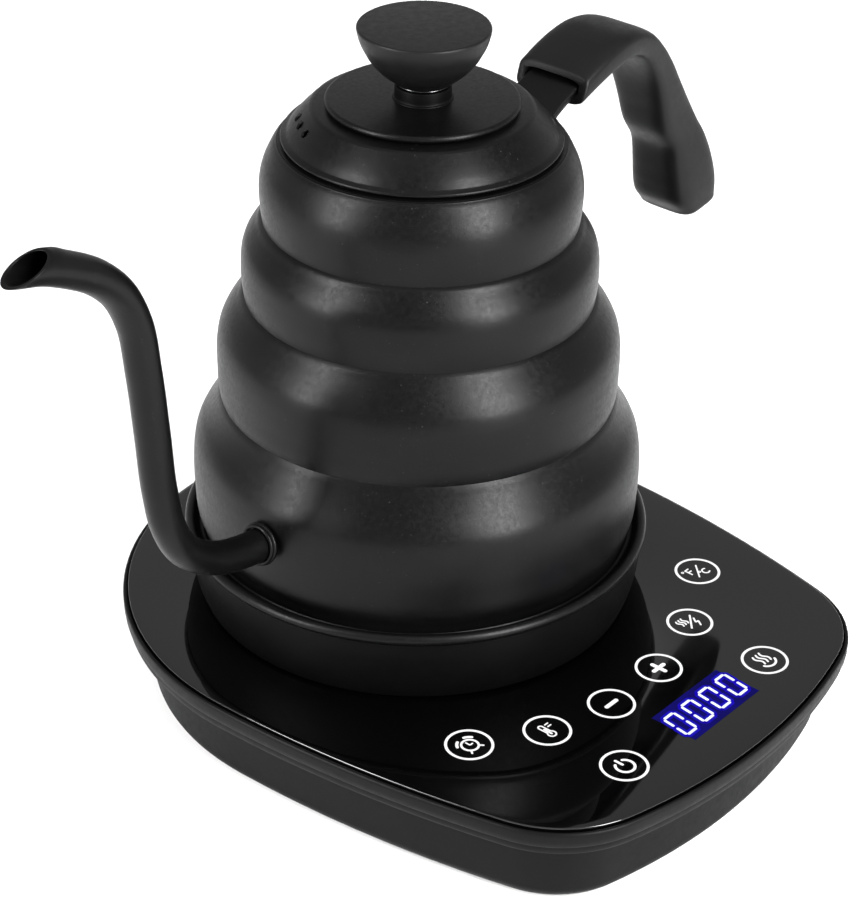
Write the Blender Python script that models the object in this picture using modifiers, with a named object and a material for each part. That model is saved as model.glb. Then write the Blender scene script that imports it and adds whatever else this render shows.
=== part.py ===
"""Electric gooseneck kettle standing on its touch-control power base.

Every size below is in millimetres and is turned into metres where an object is made.
The datum is the kettle's own axis: X = Y = 0 on that axis and Z = 0 on the table.
The empty called datum then shifts everything so that the origin of the whole object
is under the middle of its box.  The spout points to -X, the handle to +X and the
control panel faces -Y.
"""

import math

import bmesh
import bpy
from mathutils import Matrix, Vector

MM = 0.001
GAP = 0.3                      # clearance between neighbouring solids

# ---- driving dimensions -------------------------------------------------------------
AXIS_X = 10.5                  # kettle axis from the middle of the object's box
AXIS_Y = 21.4

GLASS_TOP = 33.6               # glass panel's top above the table
GLASS_THICK = 3.0
FOOT_HEIGHT = 1.5

REAR_RADIUS = 92.5             # base outline: arcs that run into one another
REAR_CENTRE_Y = -1.0
SIDE_RADIUS = 398.0
CORNER_RADIUS = 36.6
CORNER_X = 43.5
FRONT_RADIUS = 198.0
FRONT_Y = -134.2

TRIM_OUT = 1.7                 # how far each band stands out from the glass edge
FLANGE_OUT = 0.9
TUB_OUT = -7.2
TUB_EDGE = 4.0                 # rounding of the tub's lower edge
TRIM_BOTTOM = GLASS_TOP - 6.0
FLANGE_BOTTOM = GLASS_TOP - 8.8
TUB_WALL = 2.2
TUB_FLOOR = 1.3

GLAND_HOLE = 4.6
GLAND_HEIGHT = 15.0

CONNECTOR_HOLE = 20.0          # radius of the hole in glass and deck
TOWER_RADIUS = 17.0
TOWER_TOP = GLASS_TOP + 9.0
FLANGE_TOP = GLASS_TOP - 8.0   # the tower's flange, under the deck
BOARD_TOP = GLASS_TOP - 11.4   # control board, under the keys
BOARD_THICK = 1.6
PIN_RADIUS = 2.5

KEY_ARC = 91.4                 # touch keys lie on two arcs about the kettle axis
KEY_ARC_ANGLES = (-39.6, -24.5, -9.2, 6.4, 23.6, 41.6)
OUTER_ARC = 117.3
OUTER_ARC_ANGLES = (-18.0, 17.3)
KEY_NAMES = ("timer", "temperature", "minus", "plus", "boil", "unit", "power", "keep_warm")
DISPLAY_PLACE = (3.5, -111.7)
DISPLAY_SIZE = (36.0, 20.0)

WALL = 0.9                     # steel sheet of the vessel
BODY_FOOT = 22.4               # heights from here on are above the glass
RING_RADIUS = 73.0
SKIRT_FOOT_RADIUS = 67.8
SKIRT_TOP_RADIUS = 71.4
SKIRT_WALL = 2.5
PLATE_HEIGHT = 26.6

SPOUT_RADIUS = 5.1
SPOUT_WALL = 0.8
SPOUT_ROUTE = (                # distance from the axis, height above the glass
    (66.2, 44.9), (72.0, 45.6), (80.0, 46.8), (88.5, 49.2), (96.3, 53.3), (103.3, 59.5),
    (108.6, 69.4), (111.4, 82.2), (113.5, 102.9), (115.7, 122.6), (118.6, 139.2),
    (123.8, 149.9), (131.2, 157.4), (141.2, 163.4), (154.0, 168.2), (166.0, 171.2),
)
COLLAR_PLACE = (71.0, 45.6)
MOUTH_POINT = (159.6, 170.0)   # the slanting cut across the spout's end
MOUTH_TILT = 47.0

GRIP_STATIONS = (              # outer x, z and inner x, z of a section, and half its width
    (61.0, 153.0, 59.4, 146.4, 13.4), (68.0, 156.3, 67.2, 149.2, 13.5),
    (76.3, 159.4, 76.4, 151.8, 13.3), (84.5, 161.2, 84.3, 153.3, 13.0),
    (92.4, 160.4, 90.2, 152.7, 12.4), (99.8, 157.4, 94.9, 150.4, 11.8),
    (106.3, 152.0, 99.2, 146.0, 11.2), (112.5, 145.2, 103.4, 139.6, 10.6),
    (119.2, 136.0, 107.8, 128.6, 10.2), (124.4, 128.4, 110.8, 119.6, 10.0),
    (130.2, 119.4, 116.6, 110.8, 10.2), (135.3, 111.8, 118.6, 101.6, 10.8),
    (139.9, 102.6, 119.6, 95.6, 11.3), (143.0, 94.5, 121.4, 89.8, 11.5),
    (143.2, 88.4, 125.0, 85.6, 11.3), (139.5, 85.0, 130.0, 84.2, 9.4),
)
STRAP_WIDTH = 19.5
STRAP_THICK = 2.4
STRAP_ROUTE = ((49.6, 144.5), (61.0, 150.3), (72.0, 154.2), (82.0, 157.3), (89.0, 156.6))
GRIP_SCREWS = (
    ("grip_screw_front", 70.0, 150.8, 155.2),
    ("grip_screw_rear", 80.0, 153.4, 158.6),
)

LID_HEIGHT = 153.6             # the lid's rim, on the seam round the mouth
LID_RADIUS = 41.7
MOUTH_RADIUS = 38.4
PLUG_RADIUS = 37.4
PLUG_FOOT = 142.5
MOUTH_FOOT = 148.0
DISC_HEIGHT = 163.9
STEM_HEIGHT = 166.7
STEM_RADIUS = 8.4
WASHER_THICK = 0.6
KNOB_FOOT = 171.4
KNOB_TOP = 188.2
KNOB_RADIUS = 19.6
VENT_RADIUS = 1.4
VENT_ARC = 36.3
VENT_ANGLES = (133.2, 142.5, 151.8)

# ---- scene, materials and collections ----------------------------------------------


def clear_scene():
    """Remove every object, so that the model starts from nothing."""
    for item in list(bpy.data.objects):
        bpy.data.objects.remove(item, do_unlink=True)


def new_collection(name):
    """Return a fresh collection linked to the scene."""
    collection = bpy.data.collections.new(name)
    bpy.context.scene.collection.children.link(collection)
    return collection


clear_scene()
PARTS = new_collection("gooseneck_kettle")
CUTTERS = new_collection("cutters")
DATUM = bpy.data.objects.new("datum", None)
DATUM.location = (AXIS_X * MM, AXIS_Y * MM, 0.0)
PARTS.objects.link(DATUM)


def finish(name, colour, roughness, metallic=0.0):
    """Return the Principled material called name."""
    material = bpy.data.materials.new(name)
    material.use_nodes = True
    shader = material.node_tree.nodes["Principled BSDF"]
    shader.inputs["Base Color"].default_value = (*colour, 1.0)
    shader.inputs["Roughness"].default_value = roughness
    shader.inputs["Metallic"].default_value = metallic
    material.diffuse_color = (*colour, 1.0)
    return material


FINISHES = {
    "powder_coat": finish("powder_coat", (0.022, 0.022, 0.023), 0.42),
    "black_plastic": finish("black_plastic", (0.018, 0.018, 0.019), 0.5),
    "grip_plastic": finish("grip_plastic", (0.015, 0.015, 0.016), 0.55),
    "glass": finish("glass", (0.01, 0.01, 0.011), 0.05),
    "steel": finish("steel", (0.55, 0.55, 0.56), 0.3, 1.0),
    "aluminium": finish("aluminium", (0.7, 0.7, 0.72), 0.4, 1.0),
    "brass": finish("brass", (0.75, 0.55, 0.25), 0.3, 1.0),
    "rubber": finish("rubber", (0.02, 0.02, 0.02), 0.8),
    "silicone": finish("silicone", (0.6, 0.6, 0.58), 0.6),
    "circuit_board": finish("circuit_board", (0.03, 0.16, 0.06), 0.4),
    "component": finish("component", (0.03, 0.03, 0.035), 0.5),
    "display": finish("display", (0.02, 0.03, 0.35), 0.2),
}

# ---- small modelling tools -----------------------------------------------------------


def place(name, data, slot, collection=PARTS):
    """Make an object from data, with its finish, under the datum."""
    item = bpy.data.objects.new(name, data)
    item.parent = DATUM
    collection.objects.link(item)
    if slot:
        own = FINISHES[slot].copy()
        own.name = name
        data.materials.append(own)
    return item


def mark_cutter(item):
    """Keep a cutter out of the model itself."""
    item.hide_render = True
    item.display_type = "WIRE"
    return item


def smooth(item, angle=35.0):
    """Shade a round piece smooth up to the given edge angle."""
    item.data.shade_smooth()
    item.data.set_sharp_from_angle(angle=math.radians(angle))


def from_bmesh(name, shape, slot, collection=PARTS):
    """Turn a bmesh into an object and free it."""
    mesh = bpy.data.meshes.new(name)
    shape.to_mesh(mesh)
    shape.free()
    return place(name, mesh, slot, collection)


def block(name, size, centre, slot, collection=PARTS, bevel=0.0):
    """A box of the given size about the given centre."""
    shape = bmesh.new()
    bmesh.ops.create_cube(shape, size=1.0)
    bmesh.ops.scale(shape, vec=Vector(size) * MM, verts=shape.verts)
    bmesh.ops.translate(shape, vec=Vector(centre) * MM, verts=shape.verts)
    item = from_bmesh(name, shape, slot, collection)
    if bevel:
        add_bevel(item, bevel, 1)
    return item


def add_cylinder(shape, radius, low, high, at=(0.0, 0.0), sides=24):
    """Add an upright cylinder to a bmesh."""
    placed = Matrix.Translation(Vector((at[0], at[1], (low + high) / 2)) * MM)
    bmesh.ops.create_cone(
        shape, cap_ends=True, segments=sides, radius1=radius * MM, radius2=radius * MM,
        depth=(high - low) * MM, matrix=placed,
    )


def cylinders(name, radius, low, high, places, slot, collection=PARTS, sides=24):
    """Upright cylinders, one at each place, as one object."""
    shape = bmesh.new()
    for spot in places:
        add_cylinder(shape, radius, low, high, spot, sides)
    item = from_bmesh(name, shape, slot, collection)
    smooth(item)
    return item


def add_bevel(item, width, segments):
    """Round the sharp edges of an object."""
    bevel = item.modifiers.new("rounded edges", "BEVEL")
    bevel.width = width * MM
    bevel.segments = segments
    bevel.limit_method = "ANGLE"
    bevel.angle_limit = math.radians(35)
    bevel.harden_normals = False


def cut(item, cutter, operation="DIFFERENCE"):
    """Take a cutter out of an object, or join it on."""
    boolean = item.modifiers.new(cutter.name, "BOOLEAN")
    boolean.object = cutter
    boolean.operation = operation
    boolean.solver = "EXACT"


def drill(item, radius, low, high, places, sides=24):
    """Drill upright holes through an object."""
    name = item.name + "_holes"
    cutter = cylinders(name, radius, low, high, places, None, CUTTERS, sides)
    cut(item, mark_cutter(cutter))


def turned(name, profile, slot, steps=32, collection=PARTS, lift=0.0):
    """A turned solid: the profile runs down its outer side, then back up inside."""
    mesh = bpy.data.meshes.new(name)
    points = [(r * MM, 0.0, (z + lift) * MM) for r, z in profile]
    on_axis = profile[0][0] == 0 and profile[-1][0] == 0
    edges = [(k, k + 1) for k in range(len(points) - 1)]
    if not on_axis:
        edges.append((len(points) - 1, 0))
    mesh.from_pydata(points, edges, [])
    item = place(name, mesh, slot, collection)
    screw = item.modifiers.new("turned", "SCREW")
    screw.steps = steps
    screw.render_steps = steps
    screw.use_merge_vertices = True
    screw.merge_threshold = 0.00001
    screw.use_smooth_shade = True
    return item


def loft(name, sections, slot, collection=PARTS):
    """A closed solid through sections of equally many points, capped at both ends."""
    shape = bmesh.new()
    rings = [[shape.verts.new(Vector(p) * MM) for p in ring] for ring in sections]
    count = len(rings[0])
    for lower, upper in zip(rings, rings[1:]):
        for k in range(count):
            after = (k + 1) % count
            shape.faces.new((lower[k], lower[after], upper[after], upper[k]))
    shape.faces.new(list(reversed(rings[0])))
    shape.faces.new(rings[-1])
    bmesh.ops.recalc_face_normals(shape, faces=shape.faces)
    return from_bmesh(name, shape, slot, collection)


def arc(centre, radius, start, end, steps, last=True):
    """Points along an arc, angles in degrees."""
    points = []
    for k in range(steps + (1 if last else 0)):
        angle = math.radians(start + (end - start) * k / steps)
        points.append((centre[0] + radius * math.cos(angle), centre[1] + radius * math.sin(angle)))
    return points


def smooth_route(points, steps):
    """Points of a smooth curve through the given ones (Catmull-Rom)."""
    ends = [Vector(points[0]) * 2 - Vector(points[1]), Vector(points[-1]) * 2 - Vector(points[-2])]
    route = [ends[0]] + [Vector(p) for p in points] + [ends[1]]
    found = []
    for k in range(1, len(route) - 2):
        a, b, c, d = route[k - 1:k + 3]
        for step in range(steps):
            t = step / steps
            found.append(((2 * b) + (c - a) * t + (2 * a - 5 * b + 4 * c - d) * t ** 2
                          + (3 * b - 3 * c + d - a) * t ** 3) / 2)
    return found + [route[-2]]


def tube(name, route, radius, slot, closed=False, capped=True, sides=2, collection=PARTS):
    """A round tube or wire along a route."""
    curve = bpy.data.curves.new(name, "CURVE")
    curve.dimensions = "3D"
    curve.bevel_depth = radius * MM
    curve.bevel_resolution = sides
    curve.use_fill_caps = capped
    curve.resolution_u = 1
    curve.render_resolution_u = 0
    spline = curve.splines.new("POLY")
    spline.points.add(len(route) - 1)
    spline.use_cyclic_u = closed
    for point, spot in zip(spline.points, route):
        point.co = (*(Vector(spot) * MM), 1.0)
    return place(name, curve, slot, collection)


def as_mesh(item):
    """Swap a curve object for the mesh it makes, with its caps welded on."""
    view = bpy.context.evaluated_depsgraph_get()
    view.update()
    name = item.name
    mesh = bpy.data.meshes.new_from_object(item.evaluated_get(view))
    shape = bmesh.new()
    shape.from_mesh(mesh)
    bmesh.ops.remove_doubles(shape, verts=shape.verts, dist=0.00001)
    bmesh.ops.recalc_face_normals(shape, faces=shape.faces)
    shape.to_mesh(mesh)
    shape.free()
    placed = item.matrix_world.copy()
    collection = item.users_collection[0]
    bpy.data.objects.remove(item, do_unlink=True)
    made = bpy.data.objects.new(name, mesh)
    made.parent = DATUM
    made.matrix_world = placed
    collection.objects.link(made)
    return made


# ---- outline of the base ---------------------------------------------------------------


def base_outline(offset):
    """The base's outline moved out by offset: rear, side, corner and front arcs."""
    front_y = FRONT_Y + FRONT_RADIUS
    corner_y = front_y - math.sqrt((FRONT_RADIUS - CORNER_RADIUS) ** 2 - CORNER_X ** 2)
    corner = Vector((CORNER_X, corner_y))
    rear = Vector((0.0, REAR_CENTRE_Y))
    reach_corner = SIDE_RADIUS - CORNER_RADIUS
    reach_rear = SIDE_RADIUS - REAR_RADIUS
    apart = (rear - corner).length
    along = (reach_corner ** 2 - reach_rear ** 2 + apart ** 2) / (2 * apart)
    aside = math.sqrt(reach_corner ** 2 - along ** 2)
    direction = (rear - corner) / apart
    side = corner + direction * along + Vector((-direction.y, direction.x)) * aside
    front_end = math.degrees(math.atan2(corner.y - front_y, corner.x))
    corner_end = math.degrees(math.atan2(corner.y - side.y, corner.x - side.x))
    side_end = math.degrees(math.atan2(rear.y - side.y, rear.x - side.x))
    right = arc((0.0, front_y), FRONT_RADIUS + offset, -90.0, front_end, 4, last=False)
    right += arc(corner, CORNER_RADIUS + offset, front_end, corner_end, 5, last=False)
    right += arc(side, SIDE_RADIUS + offset, corner_end, side_end, 3, last=False)
    right += arc(rear, REAR_RADIUS + offset, side_end, 90.0, 9)
    left = [(-x, y) for x, y in reversed(right[1:-1])]
    return right + left


def outline_ring(offset, height):
    """The outline as 3D points at a height."""
    return [(x, y, height) for x, y in base_outline(offset)]


def polar(radius, angle):
    """A place on the panel: angle in degrees from straight ahead, + to the right."""
    turn = math.radians(angle)
    return (radius * math.sin(turn), -radius * math.cos(turn))


KEY_PLACES = [polar(KEY_ARC, a) for a in KEY_ARC_ANGLES]
KEY_PLACES += [polar(OUTER_ARC, a) for a in OUTER_ARC_ANGLES]
FOOT_PLACES = ((-52.0, 50.0), (52.0, 50.0), (-52.0, -100.0), (52.0, -100.0))
SCREW_PLACES = ((-72.0, 20.0), (72.0, 20.0), (-63.0, -86.0), (63.0, -86.0))

# ---- base ---------------------------------------------------------------------------------


def make_lower_housing():
    """The tub: rounded bottom edge, wall, and a flange under the trim."""
    edge = TUB_EDGE
    rings = []
    for angle in (0, 30, 60, 90):
        turn = math.radians(angle)
        rings.append(outline_ring(TUB_OUT - edge + edge * math.sin(turn),
                                  TUB_FLOOR + edge - edge * math.cos(turn)))
    inside = TUB_OUT - TUB_WALL
    rings.append(outline_ring(TUB_OUT + 0.6, FLANGE_BOTTOM))
    rings.append(outline_ring(FLANGE_OUT - 0.5, FLANGE_BOTTOM))
    rings.append(outline_ring(FLANGE_OUT, FLANGE_BOTTOM + 0.6))
    rings.append(outline_ring(FLANGE_OUT, TRIM_BOTTOM - GAP))
    rings.append(outline_ring(inside, TRIM_BOTTOM - GAP))
    rings.append(outline_ring(inside, TUB_FLOOR + edge))
    rings.append(outline_ring(inside - 3.0, TUB_FLOOR + TUB_WALL))
    tub = loft("base_lower_housing", rings, "black_plastic")
    bosses = mark_cutter(cylinders("housing_bosses", 4.0, TUB_FLOOR + 1.0, TRIM_BOTTOM - 1.0,
                                   SCREW_PLACES, None, CUTTERS, 16))
    cut(tub, bosses, "UNION")
    recesses = cylinders("foot_recesses", 8.0 + GAP, 0.0, TUB_FLOOR + 0.7, FOOT_PLACES, None,
                         CUTTERS, 20)
    cut(tub, mark_cutter(recesses))
    drill(tub, 1.7, -1.0, 40.0, SCREW_PLACES, 12)
    heads = cylinders("screw_head_recesses", 3.6, 0.0, TUB_FLOOR + 3.0, SCREW_PLACES, None,
                      CUTTERS, 16)
    cut(tub, mark_cutter(heads))
    cut(tub, cross_cylinder("gland_hole", GLAND_HOLE, 70.0, 100.0, GLAND_HEIGHT))
    smooth(tub, 32.0)


def cross_cylinder(name, radius, start, end, height, sides=20):
    """A cutter along Y, such as the cord's hole through the rear wall."""
    shape = bmesh.new()
    turn = Matrix.Rotation(math.radians(90), 4, "X")
    placed = Matrix.Translation(Vector((0.0, (start + end) / 2, height)) * MM) @ turn
    bmesh.ops.create_cone(
        shape, cap_ends=True, segments=sides, radius1=radius * MM, radius2=radius * MM,
        depth=(end - start) * MM, matrix=placed,
    )
    return mark_cutter(from_bmesh(name, shape, None, CUTTERS))


def make_trim():
    """The frame round the glass, with the deck that carries the glass."""
    recess = 0.35
    deck_top = GLASS_TOP - GLASS_THICK - GAP
    rings = [
        outline_ring(-6.0, TRIM_BOTTOM + 0.2),
        outline_ring(TRIM_OUT - 0.7, TRIM_BOTTOM),
        outline_ring(TRIM_OUT - 0.1, TRIM_BOTTOM + 0.5),
        outline_ring(TRIM_OUT, GLASS_TOP - 1.5),
        outline_ring(TRIM_OUT - 0.5, GLASS_TOP - 0.9),
        outline_ring(recess + 0.2, GLASS_TOP - 0.9),
        outline_ring(recess, GLASS_TOP - 1.2),
        outline_ring(recess, deck_top),
    ]
    trim = loft("base_upper_trim", rings, "black_plastic")
    drill(trim, CONNECTOR_HOLE, 10.0, 40.0, [(0.0, 0.0)], 28)
    drill_keys = cylinders("key_windows", 6.6, 10.0, 40.0, KEY_PLACES, None, CUTTERS, 16)
    cut(trim, mark_cutter(drill_keys))
    size = (DISPLAY_SIZE[0] + 2 * GAP, DISPLAY_SIZE[1] + 2 * GAP, 30.0)
    window = block("display_window", size, (*DISPLAY_PLACE, GLASS_TOP), None, CUTTERS)
    cut(trim, mark_cutter(window))
    smooth(trim, 32.0)
    return trim


def make_glass():
    """The glass panel with its polished edge and the hole for the connector."""
    low = GLASS_TOP - GLASS_THICK
    rings = [
        outline_ring(-0.3, low),
        outline_ring(0.0, low + 0.3),
        outline_ring(0.0, GLASS_TOP - 0.7),
        outline_ring(-0.6, GLASS_TOP),
    ]
    glass = loft("glass_panel", rings, "glass")
    drill(glass, CONNECTOR_HOLE, 10.0, 40.0, [(0.0, 0.0)], 28)
    return glass


def make_boards():
    """The two circuit boards and what is soldered to them."""
    inset = TUB_OUT - TUB_WALL - 2 * GAP
    board = [(x, y) for x, y in base_outline(inset) if y < -70.0]
    low, high = BOARD_TOP - BOARD_THICK, BOARD_TOP
    control = loft("control_board", [[(x, y, z) for x, y in board] for z in (low, high)],
                   "circuit_board")
    posts = [spot for spot in SCREW_PLACES if spot[1] < 0]
    drill(control, 4.6, low - 5.0, high + 5.0, posts, 16)
    block("power_board", (78.0, 42.0, 1.6), (0.0, 50.0, 6.8), "circuit_board")
    block("transformer", (17.0, 15.0, 12.0), (-26.0, 56.0, 13.9 + GAP), "component", bevel=0.8)
    block("relay", (20.0, 15.5, 13.0), (0.0, 44.0, 14.4 + GAP), "component", bevel=0.5)
    cylinders("capacitor", 4.6, 7.6 + GAP, 20.0, [(18.0, 58.0)], "component")
    block("terminal_block", (16.0, 10.0, 10.0), (30.0, 42.0, 12.6 + GAP), "component", bevel=0.5)
    cylinders("buzzer", 5.0, high + GAP, high + 4.4, [polar(104.0, 27.5)], "component")


def make_touch_pads():
    """A conductive pad under each key, from the control board up to the glass."""
    for name, spot in zip(KEY_NAMES, KEY_PLACES):
        low = BOARD_TOP + GAP
        high = GLASS_TOP - GLASS_THICK - GAP
        cylinders("touch_pad_" + name, 6.0, low, high, [spot], "rubber", sides=14)


def make_display():
    """The four-digit display module behind its window."""
    low = BOARD_TOP + GAP
    high = GLASS_TOP - GLASS_THICK - GAP
    size = (*DISPLAY_SIZE, high - low)
    block("display_module", size, (*DISPLAY_PLACE, (low + high) / 2), "display")


def make_base_connector():
    """The round connector tower, its spring ring and the contact pin in its middle."""
    well, slot_in, slot_out, flange, barrel = 5.2, 8.6, 12.2, 27.0, 15.0
    under, foot, floor = FLANGE_TOP - 2.5, 9.0, FLANGE_TOP + 0.5
    tower = [
        (TOWER_RADIUS - 1.2, TOWER_TOP), (TOWER_RADIUS, TOWER_TOP - 1.2),
        (TOWER_RADIUS, FLANGE_TOP), (flange, FLANGE_TOP), (flange, under), (barrel, under),
        (barrel, foot), (PIN_RADIUS + GAP, foot), (PIN_RADIUS + GAP, floor), (well, floor),
        (well, TOWER_TOP), (slot_in, TOWER_TOP), (slot_in, TOWER_TOP - 7.0),
        (slot_out, TOWER_TOP - 7.0), (slot_out, TOWER_TOP),
    ]
    turned("base_connector", tower, "black_plastic", 24)
    low = FLANGE_TOP + 2 * GAP
    collar = [(CONNECTOR_HOLE - GAP, GLASS_TOP), (CONNECTOR_HOLE - GAP, low),
              (TOWER_RADIUS + GAP, low), (TOWER_RADIUS + GAP, GLASS_TOP)]
    turned("connector_gasket", collar, "silicone", 24)
    shoulder = floor + GAP
    pin = [(0.0, TOWER_TOP - 0.5), (1.2, TOWER_TOP - 0.5), (PIN_RADIUS, TOWER_TOP - 2.0),
           (PIN_RADIUS, shoulder + 0.4), (4.6, shoulder + 0.4), (4.6, shoulder),
           (PIN_RADIUS, shoulder), (PIN_RADIUS, foot - 1.0), (0.0, foot - 1.0)]
    turned("centre_pin", pin, "brass", 16)


def make_base_fittings():
    """Feet, housing screws and the gland where the cord enters at the rear."""
    corners = ("rear_left", "rear_right", "front_left", "front_right")
    for corner, spot in zip(corners, FOOT_PLACES):
        cylinders("foot_" + corner, 8.0, 0.0, FOOT_HEIGHT + 0.2, [spot], "rubber", sides=20)
    for corner, spot in zip(corners, SCREW_PLACES):
        low = TUB_FLOOR + 0.9
        make_screw("housing_screw_" + corner, spot, 3.2, low, low + 1.8, 1.3, TRIM_BOTTOM - 1.5)
    make_gland()


def make_screw(name, spot, head_radius, low, neck, shaft_radius, high):
    """An upright screw, head down."""
    profile = [(0.0, high), (shaft_radius, high), (shaft_radius, neck), (head_radius, neck),
               (head_radius - 0.4, low), (0.0, low)]
    screw = turned(name, profile, "steel", 14)
    screw.location = (spot[0] * MM, spot[1] * MM, 0.0)


def make_gland():
    """The ribbed bush that lines the cord's hole in the rear wall."""
    wall_out = REAR_CENTRE_Y + REAR_RADIUS + TUB_OUT
    rim, waist, bore = GLAND_HOLE + 1.3, GLAND_HOLE - GAP - 0.1, 3.3
    outside, inside = 0.9, -TUB_WALL - 0.8
    profile = [(bore, 5.5), (rim, 5.5), (rim, outside), (waist, outside),
               (waist, inside), (rim, inside), (rim, inside - 2.0), (bore, inside - 2.0)]
    gland = turned("cord_gland", profile, "rubber", 20)
    gland.rotation_euler = (math.radians(-90), 0.0, 0.0)
    gland.location = (0.0, wall_out * MM, GLAND_HEIGHT * MM)


# ---- kettle ----------------------------------------------------------------------------------


def body_profile():
    """Outer side of the vessel: four swellings, each with its shoulder under a crease."""
    foot = [(67.0, BODY_FOOT), (67.0, 24.6), (68.9, 30.0), (69.5, 38.0), (69.5, 48.0)]
    first = [(68.9, 53.6), (67.4, 57.8), (64.9, 62.0), (62.7, 66.4), (61.2, 70.2)]
    second = [(61.6, 76.0), (61.6, 84.0), (61.1, 90.0), (59.7, 94.0), (57.3, 98.0),
              (54.9, 101.9), (53.7, 103.9)]
    third = [(53.9, 108.0), (53.9, 114.0), (53.1, 119.8), (50.7, 124.0), (47.9, 128.4)]
    fourth = [(48.1, 133.0), (48.1, 139.0), (47.3, 144.0), (45.9, 148.0), (42.4, 152.8)]
    return foot + first + second + third + fourth


def make_body():
    """The steel vessel: four swellings, the seat for the lid and the spout's hole."""
    outer = list(reversed(body_profile()))
    inner = [(r - WALL, z) for r, z in reversed(outer[1:])]
    seat = [(41.4, 151.7), (MOUTH_RADIUS + WALL, 151.7), (MOUTH_RADIUS + WALL, MOUTH_FOOT),
            (MOUTH_RADIUS, MOUTH_FOOT), (MOUTH_RADIUS, outer[0][1])]
    body = turned("body_shell", outer + inner + seat, "powder_coat", 32, lift=GLASS_TOP)
    hole = tube("spout_hole", [(-s, 0.0, z + GLASS_TOP) for s, z in ((58.0, 43.9), (78.0, 46.3))],
                SPOUT_RADIUS + GAP, None, sides=3, collection=CUTTERS)
    cut(body, mark_cutter(as_mesh(hole)))
    return body


def make_foot_ring():
    """The rolled ring between the vessel and its plastic skirt."""
    low, high, inner = 21.9, 25.1, 67.2
    middle = (low + high) / 2
    half = (high - low) / 2
    outer = arc((RING_RADIUS - half, middle), half, 90.0, -90.0, 5)
    profile = [(inner, high - 0.4)] + outer + [(inner, low)]
    turned("foot_ring", profile, "powder_coat", 32, lift=GLASS_TOP)


def make_bottom_housing():
    """The bowl-shaped plastic skirt that stands on the glass."""
    low, high = GAP, 21.9 - GAP
    outer = [(SKIRT_TOP_RADIUS, high), (71.2, 15.0), (70.4, 8.5), (69.0, 3.0),
             (SKIRT_FOOT_RADIUS, low)]
    inner = [(r - SKIRT_WALL, z) for r, z in reversed(outer)]
    turned("bottom_housing", outer + inner, "black_plastic", 32, lift=GLASS_TOP)
    cover = [(65.0, 4.4), (65.0, 2.4), (20.6, 2.4), (20.6, 4.4)]
    plate = turned("bottom_cover", cover, "black_plastic", 32, lift=GLASS_TOP)
    spots = [tuple(45.0 * v for v in (math.cos(a), math.sin(a)))
             for a in (math.radians(k * 120.0 + 30.0) for k in range(3))]
    drill(plate, 1.9, GLASS_TOP, GLASS_TOP + 8.0, spots, 12)
    for number, spot in enumerate(spots, 1):
        make_screw(f"cover_screw_{number}", spot, 3.0, GLASS_TOP + 0.8,
                   GLASS_TOP + 2.4 - GAP, 1.5, GLASS_TOP + 11.0)


def make_heater():
    """The vessel's floor and everything clamped under it."""
    high = PLATE_HEIGHT
    rim = 66.9 - WALL - GAP
    plate = [(0.0, high + 1.2), (rim - 1.0, high + 1.2), (rim, high + 0.2), (rim, 22.6),
             (rim - 1.1, 22.6), (rim - 1.1, high), (0.0, high)]
    floor = turned("heating_plate", plate, "steel", 32, lift=GLASS_TOP)
    probe_spot = [(18.0, 22.0)]
    drill(floor, 3.4, GLASS_TOP, GLASS_TOP + 40.0, probe_spot, 14)
    spreader = turned("heat_spreader", [(0.0, high - GAP), (50.0, high - GAP), (50.0, high - 3.0),
                                        (0.0, high - 3.0)], "aluminium", 28, lift=GLASS_TOP)
    drill(spreader, 3.4, GLASS_TOP, GLASS_TOP + 40.0, probe_spot, 14)
    centre_z = GLASS_TOP + high - 3.0 - GAP - 4.0
    ring = arc((0.0, 0.0), 37.0, -75.0, 255.0, 22)
    tube("heating_element", [(x, y, centre_z) for x, y in ring], 3.9, "steel", sides=2)
    cylinders("temperature_probe", 2.4, GLASS_TOP + 18.0, GLASS_TOP + high + 11.0, probe_spot,
              "steel", sides=14)
    bush = [(4.8, high + 2.6), (4.8, high + 1.2 + GAP), (2.7, high + 1.2 + GAP), (2.7, high + 2.6)]
    seal = turned("probe_seal", bush, "silicone", 16, lift=GLASS_TOP)
    seal.location = (probe_spot[0][0] * MM, probe_spot[0][1] * MM, 0.0)


def make_kettle_connector():
    """The socket under the kettle, its contact ring and the boil-dry cut-out."""
    shell = [
        (20.0, 15.6), (20.0, GAP + 0.4), (TOWER_RADIUS + 0.9, GAP + 0.4),
        (TOWER_RADIUS + 0.9, 10.2), (11.8, 10.2), (11.8, 12.2), (9.2, 12.2), (9.2, 10.2),
        (4.4, 10.2), (4.4, 3.0), (PIN_RADIUS + 0.5, 3.0), (PIN_RADIUS + 0.5, 12.6),
        (0.0, 12.6), (0.0, 15.6),
    ]
    shell = shell[-1:] + shell[:-1]
    turned("kettle_connector", shell, "black_plastic", 24, lift=GLASS_TOP)
    ring = [(11.3, 11.9), (11.3, 3.2), (9.7, 3.2), (9.7, 11.9)]
    turned("contact_ring", ring, "brass", 24, lift=GLASS_TOP)
    block("thermal_cutout", (22.0, 12.0, 3.4), (0.0, 0.0, GLASS_TOP + 18.2), "component",
          bevel=0.4)


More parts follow.
